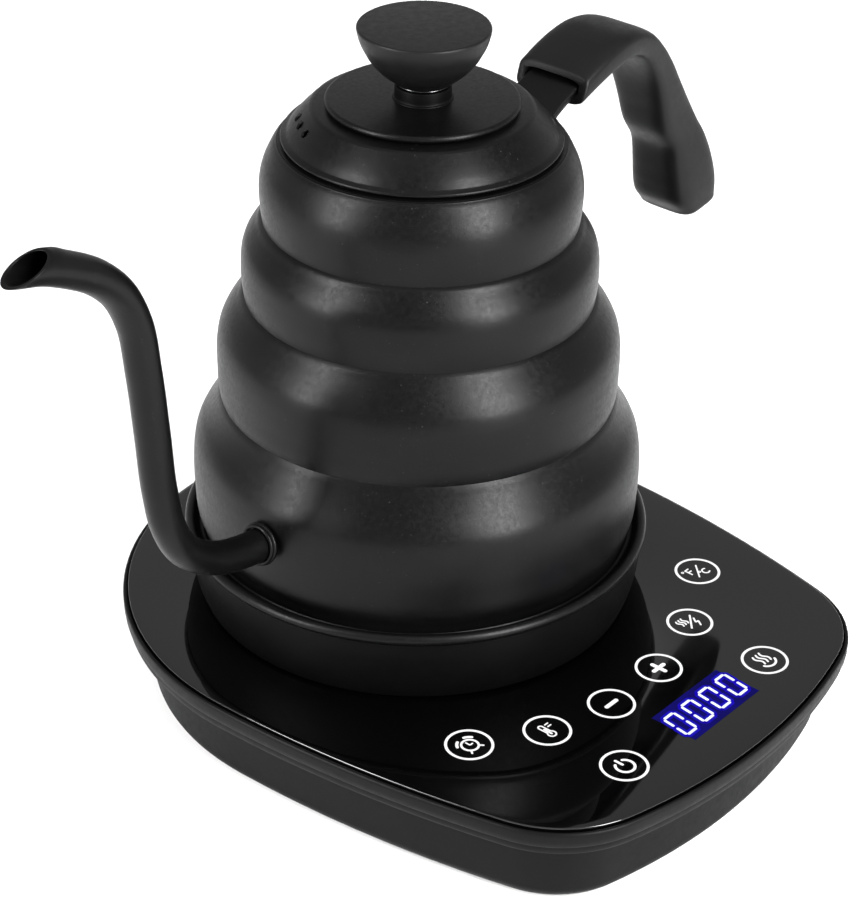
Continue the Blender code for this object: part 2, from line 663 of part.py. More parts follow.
def make_spout():
    """The gooseneck: a bent tube, cut slantwise at its mouth, and its weld collar."""
    route = smooth_route([(-s, 0.0, z + GLASS_TOP) for s, z in SPOUT_ROUTE], 2)
    spout = tube("spout_tube", route, SPOUT_RADIUS, None, capped=False, sides=3)
    wall = spout.modifiers.new("wall", "SOLIDIFY")
    wall.thickness = SPOUT_WALL * MM
    wall.offset = -1.0
    wall.use_even_offset = True
    spout = as_mesh(spout)
    own = FINISHES["powder_coat"].copy()
    own.name = "spout_tube"
    spout.data.materials.append(own)
    cutter = block("mouth_cutter", (30.0, 30.0, 60.0), (-15.0, 0.0, 0.0), None, CUTTERS)
    cutter.rotation_euler = (0.0, math.radians(MOUTH_TILT), 0.0)
    cutter.location = (-MOUTH_POINT[0] * MM, 0.0, (MOUTH_POINT[1] + GLASS_TOP) * MM)
    cut(spout, mark_cutter(cutter))
    smooth(spout, 50.0)
    ring = [(SPOUT_RADIUS + 1.3, 1.9), (SPOUT_RADIUS + 1.6, 0.0), (SPOUT_RADIUS + GAP, 0.0),
            (SPOUT_RADIUS + GAP, 1.9)]
    collar = turned("spout_collar", ring, "powder_coat", 20)
    collar.rotation_euler = (0.0, math.radians(-80.0), 0.0)
    collar.location = (-COLLAR_PLACE[0] * MM, 0.0, (COLLAR_PLACE[1] + GLASS_TOP) * MM)


def grip_section(station, radius):
    """Points of one section of the grip, going round it once."""
    outer_x, outer_z, inner_x, inner_z, half_width = station
    top = Vector((outer_x, 0.0, outer_z + GLASS_TOP))
    low = Vector((inner_x, 0.0, inner_z + GLASS_TOP))
    middle = (top + low) / 2
    unit = (top - low).normalized()
    half = (top - low).length / 2
    radius = min(radius, half * 0.95, half_width * 0.95)
    points = []
    for across_sign, up_sign, start in ((1, 1, 0), (-1, 1, 90), (-1, -1, 180), (1, -1, 270)):
        for k in range(4):
            turn = math.radians(start + 30.0 * k)
            across = across_sign * (half_width - radius) + radius * math.cos(turn)
            along = up_sign * (half - radius) + radius * math.sin(turn)
            points.append(middle + unit * along + Vector((0.0, across, 0.0)))
    return points


def make_handle():
    """The metal strap welded to the shoulder, the moulded grip and its two screws."""
    sections = []
    for number, station in enumerate(GRIP_STATIONS):
        last = number in (0, len(GRIP_STATIONS) - 1)
        sections.append(grip_section(station, 2.4 if last else 4.2))
    grip = loft("handle_grip", sections, "grip_plastic")
    strap_line = smooth_route([(x, 0.0, z + GLASS_TOP) for x, z in STRAP_ROUTE], 2)
    strap = ribbon("handle_strap", strap_line, STRAP_WIDTH / 2, STRAP_THICK / 2, "powder_coat")
    tip = strap_line[-1] + (strap_line[-1] - strap_line[-2]).normalized() * GAP
    room = ribbon("strap_room", strap_line + [tip], STRAP_WIDTH / 2 + GAP,
                  STRAP_THICK / 2 + GAP, None, CUTTERS)
    cut(grip, mark_cutter(room))
    smooth(grip, 50.0)
    for name, x, low, high in GRIP_SCREWS:
        spot = [(x, 0.0)]
        cylinders(name, 1.5, GLASS_TOP + low, GLASS_TOP + high, spot, "steel", sides=12)
        drill(grip, 1.5 + GAP, GLASS_TOP + low - 6.0, GLASS_TOP + high + GAP, spot, 12)
        drill(strap, 1.5 + GAP, GLASS_TOP + low - 6.0, GLASS_TOP + high + 6.0, spot, 12)


def ribbon(name, line, half_width, half_thick, slot, collection=PARTS):
    """A flat bar along a line in the XZ plane."""
    sections = []
    for k, spot in enumerate(line):
        before, after = line[max(k - 1, 0)], line[min(k + 1, len(line) - 1)]
        run = (after - before).normalized()
        lift = Vector((-run.z, 0.0, run.x)) * half_thick
        side = Vector((0.0, half_width, 0.0))
        sections.append([spot + lift + side, spot + lift - side,
                         spot - lift - side, spot - lift + side])
    return loft(name, sections, slot, collection)


# ---- lid ----------------------------------------------------------------------------------------


def make_lid():
    """The domed lid, its plug, the raised disc, and the knob on its stem."""
    dome = [(0.0, 163.4), (31.6, 163.4), (34.3, 161.5), (36.3, 159.6), (38.3, 157.7),
            (39.7, 155.8), (LID_RADIUS, LID_HEIGHT)]
    under = [(LID_RADIUS, LID_HEIGHT - 0.8), (40.6, LID_HEIGHT - 0.8), (38.7, 155.3),
             (37.2, 157.2), (35.4, 158.9), (33.6, 160.5), (31.4, 162.2), (0.0, 162.2)]
    shell = turned("lid_shell", dome + under, "powder_coat", 32, lift=GLASS_TOP)
    vents = [(VENT_ARC * math.cos(math.radians(a)), VENT_ARC * math.sin(math.radians(a)))
             for a in VENT_ANGLES]
    drill(shell, VENT_RADIUS, GLASS_TOP + 150.0, GLASS_TOP + 170.0, vents, 12)
    drill(shell, 2.4, GLASS_TOP + 155.0, GLASS_TOP + 170.0, [(0.0, 0.0)], 14)
    high = 162.2 - GAP
    plug = [(30.8, high), (36.2, 157.2), (PLUG_RADIUS, 155.9), (PLUG_RADIUS, PLUG_FOOT),
            (PLUG_RADIUS - WALL, PLUG_FOOT), (PLUG_RADIUS - WALL, 155.4), (35.6, 156.2),
            (30.3, high - WALL), (2.4, high - WALL), (2.4, high)]
    cup = turned("lid_plug", plug, "steel", 28, lift=GLASS_TOP)
    drill(cup, VENT_RADIUS + 0.5, GLASS_TOP + 150.0, GLASS_TOP + 170.0, vents, 10)
    disc = [(27.9, DISC_HEIGHT + 2.3), (28.6, DISC_HEIGHT + 1.9), (28.8, DISC_HEIGHT + 1.3),
            (27.8, DISC_HEIGHT), (2.4, DISC_HEIGHT), (2.4, DISC_HEIGHT + 2.3)]
    turned("lid_disc", disc, "powder_coat", 28, lift=GLASS_TOP)
    make_knob()


def make_knob():
    """Stem, bright washer, bowl-shaped knob and the screw that holds them together."""
    stem_top = KNOB_FOOT - 2 * GAP - WASHER_THICK
    stem = [(STEM_RADIUS, stem_top), (STEM_RADIUS, STEM_HEIGHT + 0.6),
            (STEM_RADIUS + 0.6, STEM_HEIGHT), (2.4, STEM_HEIGHT), (2.4, stem_top)]
    turned("knob_stem", stem, "grip_plastic", 28, lift=GLASS_TOP)
    washer_foot = stem_top + GAP
    washer = [(8.1, washer_foot + WASHER_THICK), (8.1, washer_foot), (2.4, washer_foot),
              (2.4, washer_foot + WASHER_THICK)]
    turned("knob_washer", washer, "steel", 24, lift=GLASS_TOP)
    knob = [(0.0, KNOB_TOP), (KNOB_RADIUS - 0.5, KNOB_TOP), (KNOB_RADIUS, KNOB_TOP - 0.5),
            (19.2, 185.4), (18.4, 183.0), (17.4, 181.0), (15.9, 178.4), (13.6, 175.6),
            (11.2, 173.5), (STEM_RADIUS, KNOB_FOOT), (2.4, KNOB_FOOT), (2.4, 183.6), (0.0, 183.6)]
    turned("lid_knob", knob, "grip_plastic", 28, lift=GLASS_TOP)
    head = 162.2 - GAP - WALL - GAP
    screw = [(0.0, 183.2), (2.0, 183.2), (2.0, head), (4.0, head), (3.6, head - 1.8),
             (0.0, head - 1.8)]
    turned("knob_screw", screw, "steel", 14, lift=GLASS_TOP)


def build():
    """Model every piece of the base, the kettle and the lid."""
    make_lower_housing()
    make_trim()
    make_glass()
    make_boards()
    make_touch_pads()
    make_display()
    make_base_connector()
    make_base_fittings()
    make_body()
    make_foot_ring()
    make_bottom_housing()
    make_heater()
    make_kettle_connector()
    make_spout()
    make_handle()
    make_lid()


build()
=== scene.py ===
"""Looks of a gooseneck electric kettle on its touch-control base, on a plain studio floor.

Sizes are in millimetres. Heights of the kettle and its lid are taken above the glass panel,
and plane places from the kettle's axis; `stand` turns both into the row frame in metres.
"""
import logging
import math
from dataclasses import dataclass, field
from enum import Enum
from typing import ClassVar

import bmesh
import bpy
import numpy as np
from mathutils import Matrix, Vector


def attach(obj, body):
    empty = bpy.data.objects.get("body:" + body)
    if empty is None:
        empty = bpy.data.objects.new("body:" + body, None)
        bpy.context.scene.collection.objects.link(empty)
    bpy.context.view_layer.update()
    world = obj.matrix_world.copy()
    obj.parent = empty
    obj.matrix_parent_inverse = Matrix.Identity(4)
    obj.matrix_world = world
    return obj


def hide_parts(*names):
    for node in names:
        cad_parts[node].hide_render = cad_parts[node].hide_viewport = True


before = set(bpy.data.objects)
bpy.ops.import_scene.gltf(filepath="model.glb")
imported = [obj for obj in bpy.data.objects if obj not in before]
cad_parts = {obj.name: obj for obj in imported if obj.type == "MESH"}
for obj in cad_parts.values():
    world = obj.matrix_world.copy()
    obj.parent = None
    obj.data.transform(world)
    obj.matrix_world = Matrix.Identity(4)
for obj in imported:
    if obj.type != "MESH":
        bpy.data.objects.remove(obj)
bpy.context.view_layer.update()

LOG = logging.getLogger("kettle")
MM = 0.001
TAU = 2.0 * math.pi
AXIS_X, AXIS_Y, GLASS_TOP = 10.5, 21.4, 33.6


class Body(Enum):
    """The bodies of the frame that carry pieces made here."""

    BASE = "base"
    KETTLE = "kettle"
    LID = "lid"


class Slot(Enum):
    """The record's material slots, named for the pieces made here."""

    POWDER_COAT = "powder_coat"
    HOUSING = "housing_plastic"
    GRIP = "grip_plastic"
    GLASS = "black_glass"
    STAINLESS = "stainless"
    DISPLAY = "display"


# ---- finishes --------------------------------------------------------------------------


class Wiring:
    """A small helper that lays out one material's nodes."""

    def __init__(self, name: str) -> None:
        """Start a material with a Principled shader wired to its output."""
        self.material = bpy.data.materials.new(name)
        self.material.use_nodes = True
        self.tree = self.material.node_tree
        self.shader = next(n for n in self.tree.nodes if n.type == "BSDF_PRINCIPLED")
        self.place = self.add("ShaderNodeTexCoord").outputs["Object"]

    def add(self, kind: str, **values: object) -> bpy.types.Node:
        """Add a node of a kind and set its plain attributes."""
        node = self.tree.nodes.new(kind)
        for key, value in values.items():
            setattr(node, key, value)
        return node

    def link(self, source: bpy.types.NodeSocket, target: bpy.types.NodeSocket) -> None:
        """Connect two sockets."""
        self.tree.links.new(source, target)

    def set(self, **values: object) -> None:
        """Set sockets of the Principled shader; underscores stand for spaces."""
        for key, value in values.items():
            self.shader.inputs[key.replace("_", " ")].default_value = value

    def noise(self, scale: float, detail: float = 2.0, rough: float = 0.5,
              stretch: tuple[float, float, float] | None = None) -> bpy.types.NodeSocket:
        """Return a noise over the object's own coordinates, in features per metre.

        Args:
            scale: Features per metre.
            detail: Octaves of the noise.
            rough: Weight of the finer octaves.
            stretch: Scale along each axis before the noise, or None.

        Returns:
            The noise's factor socket.
        """
        source = self.place
        if stretch:
            mapping = self.add("ShaderNodeMapping")
            mapping.inputs["Scale"].default_value = stretch
            self.link(source, mapping.inputs["Vector"])
            source = mapping.outputs["Vector"]
        node = self.add("ShaderNodeTexNoise")
        node.inputs["Scale"].default_value = scale
        node.inputs["Detail"].default_value = detail
        node.inputs["Roughness"].default_value = rough
        self.link(source, node.inputs["Vector"])
        return node.outputs["Fac"]

    def ramp(self, source: bpy.types.NodeSocket,
             stops: list[tuple[float, tuple]]) -> bpy.types.NodeSocket:
        """Return the colour that a factor has on a ramp of (position, rgb) stops."""
        node = self.add("ShaderNodeValToRGB")
        elements = node.color_ramp.elements
        while len(elements) < len(stops):
            elements.new(0.5)
        for element, (position, colour) in zip(elements, stops):
            element.position = position
            element.color = (*colour, 1.0)
        self.link(source, node.inputs["Fac"])
        return node.outputs["Color"]

    def span(self, source: bpy.types.NodeSocket, low: float, high: float,
             start: float = 0.0, end: float = 1.0) -> bpy.types.NodeSocket:
        """Return a factor remapped from start..end to low..high."""
        node = self.add("ShaderNodeMapRange")
        node.inputs["From Min"].default_value = start
        node.inputs["From Max"].default_value = end
        node.inputs["To Min"].default_value = low
        node.inputs["To Max"].default_value = high
        self.link(source, node.inputs["Value"])
        return node.outputs["Result"]

    def bump(self, height: bpy.types.NodeSocket, strength: float, depth: float,
             normal: bpy.types.NodeSocket | None = None) -> bpy.types.NodeSocket:
        """Return a normal bumped by a height, of a depth in metres, over another normal."""
        node = self.add("ShaderNodeBump")
        node.inputs["Strength"].default_value = strength
        node.inputs["Distance"].default_value = depth
        self.link(height, node.inputs["Height"])
        if normal:
            self.link(normal, node.inputs["Normal"])
        return node.outputs["Normal"]

    def finish(self, colour: bpy.types.NodeSocket | None = None,
               rough: bpy.types.NodeSocket | None = None,
               normal: bpy.types.NodeSocket | None = None) -> bpy.types.Material:
        """Join colour, roughness and normal to the shader and return the material."""
        for source, target in ((colour, "Base Color"), (rough, "Roughness"), (normal, "Normal")):
            if source:
                self.link(source, self.shader.inputs[target])
        return self.material


@dataclass(frozen=True)
class PowderCoat:
    """Satin powder coat: orange-peel ripple, fine grain and sparse pale specks."""

    name: str = "powder_coat"
    dark: float = 0.0009
    light: float = 0.0014
    roughness: float = 0.35
    level: float = 0.105
    grain: float = 0.00004

    def build(self) -> bpy.types.Material:
        """Return the coat's material."""
        wires = Wiring(self.name)
        wires.set(Specular_IOR_Level=self.level)
        cloud = wires.noise(45.0, 3.0)
        tone = wires.ramp(cloud, [(0.3, (self.dark,) * 3), (0.7, (self.light,) * 3)])
        speck = wires.noise(1500.0, 1.0)
        fleck = wires.ramp(speck, [(0.74, (0.0,) * 3), (0.8, (1.0,) * 3)])
        mix = wires.add("ShaderNodeMix", data_type="RGBA")
        wires.link(fleck, mix.inputs["Factor"])
        wires.link(tone, mix.inputs["A"])
        mix.inputs["B"].default_value = (0.02, 0.02, 0.021, 1.0)
        rough = wires.span(wires.noise(700.0, 3.0, 0.7), self.roughness - 0.06,
                           self.roughness + 0.08, 0.3, 0.7)
        peel = wires.bump(wires.noise(330.0, 2.0), 0.25, 0.00006)
        grain = wires.bump(wires.noise(2600.0, 2.0, 0.6), 0.55, self.grain, peel)
        return wires.finish(mix.outputs["Result"], rough, grain)


@dataclass(frozen=True)
class Moulded:
    """Moulded plastic with a spark-eroded texture; gloss and tint set it apart."""

    name: str
    tint: tuple[float, float, float] = (0.017, 0.017, 0.018)
    roughness: float = 0.42
    grain: float = 0.00003
    scale: float = 1900.0
    level: float = 0.5

    def build(self) -> bpy.types.Material:
        """Return the plastic's material."""
        wires = Wiring(self.name)
        wires.set(Specular_IOR_Level=self.level)
        pale = tuple(value * 1.35 for value in self.tint)
        tone = wires.ramp(wires.noise(60.0, 3.0), [(0.3, self.tint), (0.75, pale)])
        rough = wires.span(wires.noise(420.0, 4.0, 0.65), self.roughness - 0.05,
                           self.roughness + 0.07, 0.3, 0.7)
        voronoi = wires.add("ShaderNodeTexVoronoi")
        voronoi.inputs["Scale"].default_value = self.scale
        wires.link(wires.place, voronoi.inputs["Vector"])
        pits = wires.bump(voronoi.outputs["Distance"], 0.35, self.grain)
        return wires.finish(tone, rough, pits)


@dataclass(frozen=True)
class BlackGlass:
    """Back-painted float glass: a mirror-smooth face with the faintest wipe marks."""

    name: str = "black_glass"

    def build(self) -> bpy.types.Material:
        """Return the glass's material."""
        wires = Wiring(self.name)
        wires.set(IOR=1.5, Specular_IOR_Level=0.5, Coat_Weight=0.25, Coat_Roughness=0.02)
        tone = wires.ramp(wires.noise(20.0, 2.0), [(0.2, (0.0003, 0.0003, 0.0004)),
                                                    (0.8, (0.0006, 0.0006, 0.0007))])
        wipes = wires.noise(26.0, 5.0, 0.6, (1.0, 3.2, 1.0))
        rough = wires.span(wipes, 0.02, 0.075, 0.35, 0.75)
        wave = wires.bump(wires.noise(9.0, 1.0), 0.05, 0.0002)
        return wires.finish(tone, rough, wave)


@dataclass(frozen=True)
class Metal:
    """Bare metal: brushed along an axis, or cast with a grain."""

    name: str
    tint: tuple[float, float, float] = (0.56, 0.56, 0.57)
    roughness: float = 0.28
    brush: tuple[float, float, float] = (1.0, 1.0, 28.0)
    scale: float = 130.0
    depth: float = 0.00001

    def build(self) -> bpy.types.Material:
        """Return the metal's material."""
        wires = Wiring(self.name)
        wires.set(Metallic=1.0)
        streak = wires.noise(self.scale, 5.0, 0.7, self.brush)
        dull = tuple(value * 0.78 for value in self.tint)
        tone = wires.ramp(streak, [(0.25, dull), (0.75, self.tint)])
        rough = wires.span(streak, self.roughness - 0.08, self.roughness + 0.12, 0.2, 0.8)
        return wires.finish(tone, rough, wires.bump(streak, 0.4, self.depth))


@dataclass(frozen=True)
class Elastomer:
    """Rubber or silicone: dull, with a soft mottled skin."""

    name: str
    tint: tuple[float, float, float] = (0.02, 0.02, 0.02)
    roughness: float = 0.72

    def build(self) -> bpy.types.Material:
        """Return the elastomer's material."""
        wires = Wiring(self.name)
        wires.set(Specular_IOR_Level=0.35)
        pale = tuple(min(1.0, value * 1.5 + 0.004) for value in self.tint)
        tone = wires.ramp(wires.noise(240.0, 4.0, 0.6), [(0.3, self.tint), (0.8, pale)])
        rough = wires.span(wires.noise(900.0, 2.0), self.roughness - 0.1, self.roughness + 0.1)
        skin = wires.bump(wires.noise(1400.0, 3.0), 0.4, 0.00004)
        return wires.finish(tone, rough, skin)


@dataclass(frozen=True)
class SolderMask:
    """Green circuit board: mask over the glass weave, with copper runs showing through."""

    name: str = "circuit_board"

    def build(self) -> bpy.types.Material:
        """Return the board's material."""
        wires = Wiring(self.name)
        bricks = wires.add("ShaderNodeTexBrick", offset=0.35, squash=1.4)
        bricks.inputs["Scale"].default_value = 90.0
        bricks.inputs["Mortar Size"].default_value = 0.035
        bricks.inputs["Color1"].default_value = (0.012, 0.085, 0.03, 1.0)
        bricks.inputs["Color2"].default_value = (0.016, 0.105, 0.036, 1.0)
        bricks.inputs["Mortar"].default_value = (0.05, 0.21, 0.07, 1.0)
        wires.link(wires.place, bricks.inputs["Vector"])
        rough = wires.span(wires.noise(300.0, 2.0), 0.22, 0.38)
        runs = wires.bump(bricks.outputs["Fac"], 0.4, 0.00005)
        return wires.finish(bricks.outputs["Color"], rough, runs)


@dataclass(frozen=True)
class Lit:
    """A lit print: a glowing skin whose light wavers slightly across it."""

    name: str
    tint: tuple[float, float, float] = (1.0, 1.0, 1.0)
    power: float = 1.6
    deep: float = 0.8
    scale: float = 160.0

    def build(self) -> bpy.types.Material:
        """Return the lit material."""
        wires = Wiring(self.name)
        wires.set(Roughness=0.6, Emission_Strength=self.power, Specular_IOR_Level=0.0,
                  Base_Color=(0.002, 0.002, 0.002, 1.0))
        low = tuple(value * self.deep for value in self.tint)
        tone = wires.ramp(wires.noise(self.scale, 2.0), [(0.35, low), (0.65, self.tint)])
        wires.link(tone, wires.shader.inputs["Emission Color"])
        return wires.finish()


class Finishes:
    """Every finish of the kettle, built once."""

    def __init__(self) -> None:
        """Build the materials and key them by name."""
        palette = [
            PowderCoat(),
            Moulded("housing_plastic", (0.001, 0.001, 0.0011), 0.46, 0.00003, 1900.0, 0.08),
            Moulded("skirt_plastic", (0.0007, 0.0007, 0.0008), 0.48, 0.00004, 1500.0, 0.05),
            Moulded("grip_plastic", (0.002, 0.002, 0.0021), 0.42, 0.00004, 1700.0, 0.14),
            Moulded("component_case", (0.02, 0.02, 0.024), 0.5),
            BlackGlass(),
            Metal("stainless"),
            # painted shade: steel darkened to a 0.07 tint, so the knob washer in the gap under the
            # knob shows dark but for glints
            Metal("shade_darkened_steel", (0.07, 0.07, 0.072), 0.2, (30.0, 30.0, 1.0), 60.0),
            Metal("aluminium", (0.7, 0.7, 0.72), 0.42, (1.0, 1.0, 1.0), 420.0, 0.00003),
            Metal("brass", (0.75, 0.55, 0.25), 0.24),
            Elastomer("rubber"),
            # painted shade: a near-black, fully matte skin for the rings that stand in for the
            # shaded screw wells
            Elastomer("painted_shade_well", (0.0008, 0.0008, 0.0008), 0.95),
            Elastomer("silicone", (0.42, 0.42, 0.4), 0.62),
            SolderMask(),
            Lit("lit_white", (1.0, 1.0, 1.0), 1.15, 0.92),
            Lit("lit_digit", (0.86, 0.9, 1.0), 1.35, 0.85),
            Lit("lit_window", (0.002, 0.0, 0.16), 1.0, 0.6, 120.0),
            Lit("lit_glow", (0.008, 0.001, 0.52), 1.0, 0.75, 200.0),
        ]
        self.by_name = {finish.name: finish.build() for finish in palette}

    def dress(self, piece: bpy.types.Object, name: str) -> None:
        """Give a piece a finish as its only material."""
        piece.data.materials.clear()
        piece.data.materials.append(self.by_name[name])


# ---- surfaces --------------------------------------------------------------------------


def stand(points: np.ndarray, above_glass: bool = True) -> np.ndarray:
    """Move millimetre points from the kettle's axis into the row frame, in metres."""
    lift = GLASS_TOP if above_glass else 0.0
    return (np.asarray(points, dtype=float) + np.array([AXIS_X, AXIS_Y, lift])) * MM


def surface(name: str, grid: np.ndarray, wrap_rows: bool = False, cap_start: bool = False,
            cap_end: bool = False) -> bpy.types.Object:
    """Make a smooth mesh from a grid of points in metres.

    Point (i, j) of the grid is vertex i * columns + j, and each cell is the quad
    (i, j), (i, j+1), (i+1, j+1), (i+1, j), turned so that faces look outwards. The last
    column joins the first. A cap closes the first or last row with a fan to that row's mean.

    Args:
        name: The object's name.
        grid: Points as an array of rows, columns and three coordinates.
        wrap_rows: Join the last row to the first.
        cap_start: Close the first row.
        cap_end: Close the last row.

    Returns:
        The new object, at the origin.
    """
    rows, columns = grid.shape[:2]
    index = np.arange(rows * columns).reshape(rows, columns)
    below = index if wrap_rows else index[:-1]
    above = np.roll(index, -1, axis=0) if wrap_rows else index[1:]
    next_below, next_above = np.roll(below, -1, axis=1), np.roll(above, -1, axis=1)
    quads = np.stack([below, next_below, next_above, above], axis=-1).reshape(-1, 4)
    points = grid.reshape(-1, 3)
    faces = [tuple(quad) for quad in quads.tolist()]
    for wanted, row, forward in ((cap_start, 0, False), (cap_end, rows - 1, True)):
        if wanted:
            centre = len(points)
            points = np.vstack([points, grid[row].mean(axis=0)])
            ring = index[row]
            following = np.roll(ring, -1)
            first, second = (ring, following) if forward else (following, ring)
            faces += [(a, b, centre) for a, b in zip(first.tolist(), second.tolist())]
    mesh = bpy.data.meshes.new(name)
    mesh.from_pydata(points.tolist(), [], faces)
    mesh.update()
    piece = bpy.data.objects.new(name, mesh)
    bpy.context.scene.collection.objects.link(piece)
    outwards(piece)
    return piece


def outwards(piece: bpy.types.Object) -> None:
    """Merge doubled points, drop flat faces, turn the closed shell outwards, shade it smooth."""
    shape = bmesh.new()
    shape.from_mesh(piece.data)
    bmesh.ops.remove_doubles(shape, verts=shape.verts, dist=1e-7)
    bmesh.ops.dissolve_degenerate(shape, edges=shape.edges, dist=1e-8)
    bmesh.ops.recalc_face_normals(shape, faces=shape.faces)
    if shape.calc_volume(signed=True) < 0.0:
        bmesh.ops.reverse_faces(shape, faces=shape.faces)
    shape.to_mesh(piece.data)
    shape.free()
    piece.data.shade_smooth()
    if hasattr(piece.data, "set_sharp_from_angle"):
        piece.data.set_sharp_from_angle(angle=math.radians(38.0))


def subtract(piece: bpy.types.Object, drill: bpy.types.Object) -> None:
    """Cut a closed drill out of a piece for good, and remove the drill."""
    step = piece.modifiers.new("bore", "BOOLEAN")
    step.operation, step.solver, step.object = "DIFFERENCE", "EXACT", drill
    bpy.context.view_layer.update()
    graph = bpy.context.evaluated_depsgraph_get()
    piece.data = bpy.data.meshes.new_from_object(piece.evaluated_get(graph))
    piece.modifiers.clear()
    bpy.data.objects.remove(drill)


def flow(points: np.ndarray, count: int) -> np.ndarray:
    """Sample a smooth line through points.

    Each coordinate is a cubic in the chord length whose slope at a point is the mean of
    its neighbours' slopes (Catmull-Rom); samples are evenly spaced in chord length.

    Args:
        points: Control points, one per row.
        count: How many samples to return.

    Returns:
        The samples, with the same number of coordinates.
    """
    points = np.asarray(points, dtype=float)
    chord = np.r_[0.0, np.cumsum(np.linalg.norm(np.diff(points, axis=0), axis=1))]
    slope = np.gradient(points, chord, axis=0)
    at = np.linspace(0.0, chord[-1], count)
    k = np.clip(np.searchsorted(chord, at, side="right") - 1, 0, len(chord) - 2)
    width = (chord[k + 1] - chord[k])[:, None]
    t = ((at - chord[k]) / width[:, 0])[:, None]
    return ((2 * t**3 - 3 * t**2 + 1) * points[k] + (t**3 - 2 * t**2 + t) * width * slope[k]
            + (3 * t**2 - 2 * t**3) * points[k + 1] + (t**3 - t**2) * width * slope[k + 1])


def rounded(points: list[tuple[float, float]], radii: float | list[float],
            closed: bool = True, steps: int = 5) -> np.ndarray:
    """Round the corners of a polygon.

    Each corner becomes a quadratic curve from a point on one side, through the pull of the
    corner, to a point on the other side; both lie the corner's radius from it, or 0.45 of
    the side if that is shorter.

    Args:
        points: The polygon's corners.
        radii: One radius, or one for each corner.
        closed: Whether the last corner joins the first.
        steps: Points in each rounded corner.

    Returns:
        The rounded outline as an array of points.
    """
    corners = np.asarray(points, dtype=float)
    size = np.broadcast_to(np.asarray(radii, dtype=float), len(corners))
    before, after = np.roll(corners, 1, axis=0), np.roll(corners, -1, axis=0)
    back, ahead = before - corners, after - corners
    back_length = np.linalg.norm(back, axis=1)
    ahead_length = np.linalg.norm(ahead, axis=1)
    reach_back = np.minimum(size, 0.45 * back_length) / np.maximum(back_length, 1e-9)
    reach_ahead = np.minimum(size, 0.45 * ahead_length) / np.maximum(ahead_length, 1e-9)
    start = corners + back * reach_back[:, None]
    end = corners + ahead * reach_ahead[:, None]
    t = np.linspace(0.0, 1.0, steps)[None, :, None]
    curve = ((1 - t) ** 2 * start[:, None] + 2 * t * (1 - t) * corners[:, None]
             + t**2 * end[:, None])
    if closed:
        return curve.reshape(-1, 2)
    return np.vstack([corners[:1], curve[1:-1].reshape(-1, 2), corners[-1:]])


def arc(centre: tuple[float, float], radius: float, start: float, end: float,
        count: int) -> np.ndarray:
    """Points on a circle, from a start to an end angle in degrees."""
    turn = np.radians(np.linspace(start, end, count))
    return np.stack([centre[0] + radius * np.cos(turn), centre[1] + radius * np.sin(turn)], -1)


def revolve(name: str, profile: np.ndarray, steps: int = 160,
            centre: tuple[float, float] = (0.0, 0.0),
            above_glass: bool = True) -> bpy.types.Object:
    """Turn a closed profile of (radius, height) round an upright axis.

    The point at angle a and profile row p is (centre + r_p * (cos a, sin a), z_p). A profile
    that starts and ends at radius 0 closes in two poles; any other closes on itself.

    Args:
        name: The object's name.
        profile: Radii and heights in millimetres.
        steps: Columns round the axis.
        centre: The axis in the plane, from the kettle's axis.
        above_glass: Whether heights are above the glass rather than the table.

    Returns:
        The new object.
    """
    angle = np.arange(steps) * TAU / steps
    radius, height = profile[:, :1], profile[:, 1:2]
    grid = np.stack([centre[0] + radius * np.cos(angle), centre[1] + radius * np.sin(angle),
                     np.broadcast_to(height, (len(profile), steps))], axis=-1)
    poles = profile[0, 0] < 1e-6 and profile[-1, 0] < 1e-6
    return surface(name, stand(grid, above_glass), wrap_rows=not poles)


def directions(line: np.ndarray) -> tuple[np.ndarray, np.ndarray]:
    """Unit directions along a plane line, and square to it on its left, at each point."""
    run = np.gradient(line, axis=0)
    run /= np.maximum(np.linalg.norm(run, axis=1), 1e-9)[:, None]
    return run, np.stack([-run[:, 1], run[:, 0]], axis=-1)


def at_levels(plane: np.ndarray, levels: np.ndarray) -> np.ndarray:
    """Grid of points from rows of plane points, each row at its own height."""
    height = np.broadcast_to(levels[:, None], plane.shape[:2])
    return np.concatenate([plane, height[..., None]], axis=-1)


def carry(line: np.ndarray, sections: np.ndarray) -> np.ndarray:
    """Carry sections along a line in the upright plane of the spout and handle.

    A section's first coordinate runs along the line's normal in that plane, and its second
    along Y: point = line + a * normal + b * Y.

    Args:
        line: Points (x, z) of the line.
        sections: One section (columns, 2) for each point of the line.

    Returns:
        The grid of points (x, y, z) in millimetres.
    """
    normal = directions(line)[1]
    plane = line[:, None, :] + sections[..., :1] * normal[:, None, :]
    return np.stack([plane[..., 0], sections[..., 1], plane[..., 1]], axis=-1)


def squircle(half_height: np.ndarray, half_width: np.ndarray, power: float,
             columns: int) -> np.ndarray:
    """Sections between an ellipse and a box.

    Along the section a point is (h * sgn(s) * |s|^(2/p), w * sgn(c) * |c|^(2/p)) with s and c
    the sine and cosine of an even turn, so p = 2 is an ellipse and a larger p is squarer.

    Args:
        half_height: Half the height of each section.
        half_width: Half the width of each section.
        power: The exponent p.
        columns: Points round a section.

    Returns:
        An array of sections, columns and two coordinates.
    """
    turn = np.arange(columns) * TAU / columns
    s, c = np.sin(turn), np.cos(turn)
    up = np.sign(s) * np.abs(s) ** (2.0 / power)
    across = np.sign(c) * np.abs(c) ** (2.0 / power)
    return np.stack([np.atleast_1d(half_height)[:, None] * up,
                     np.atleast_1d(half_width)[:, None] * across], axis=-1)


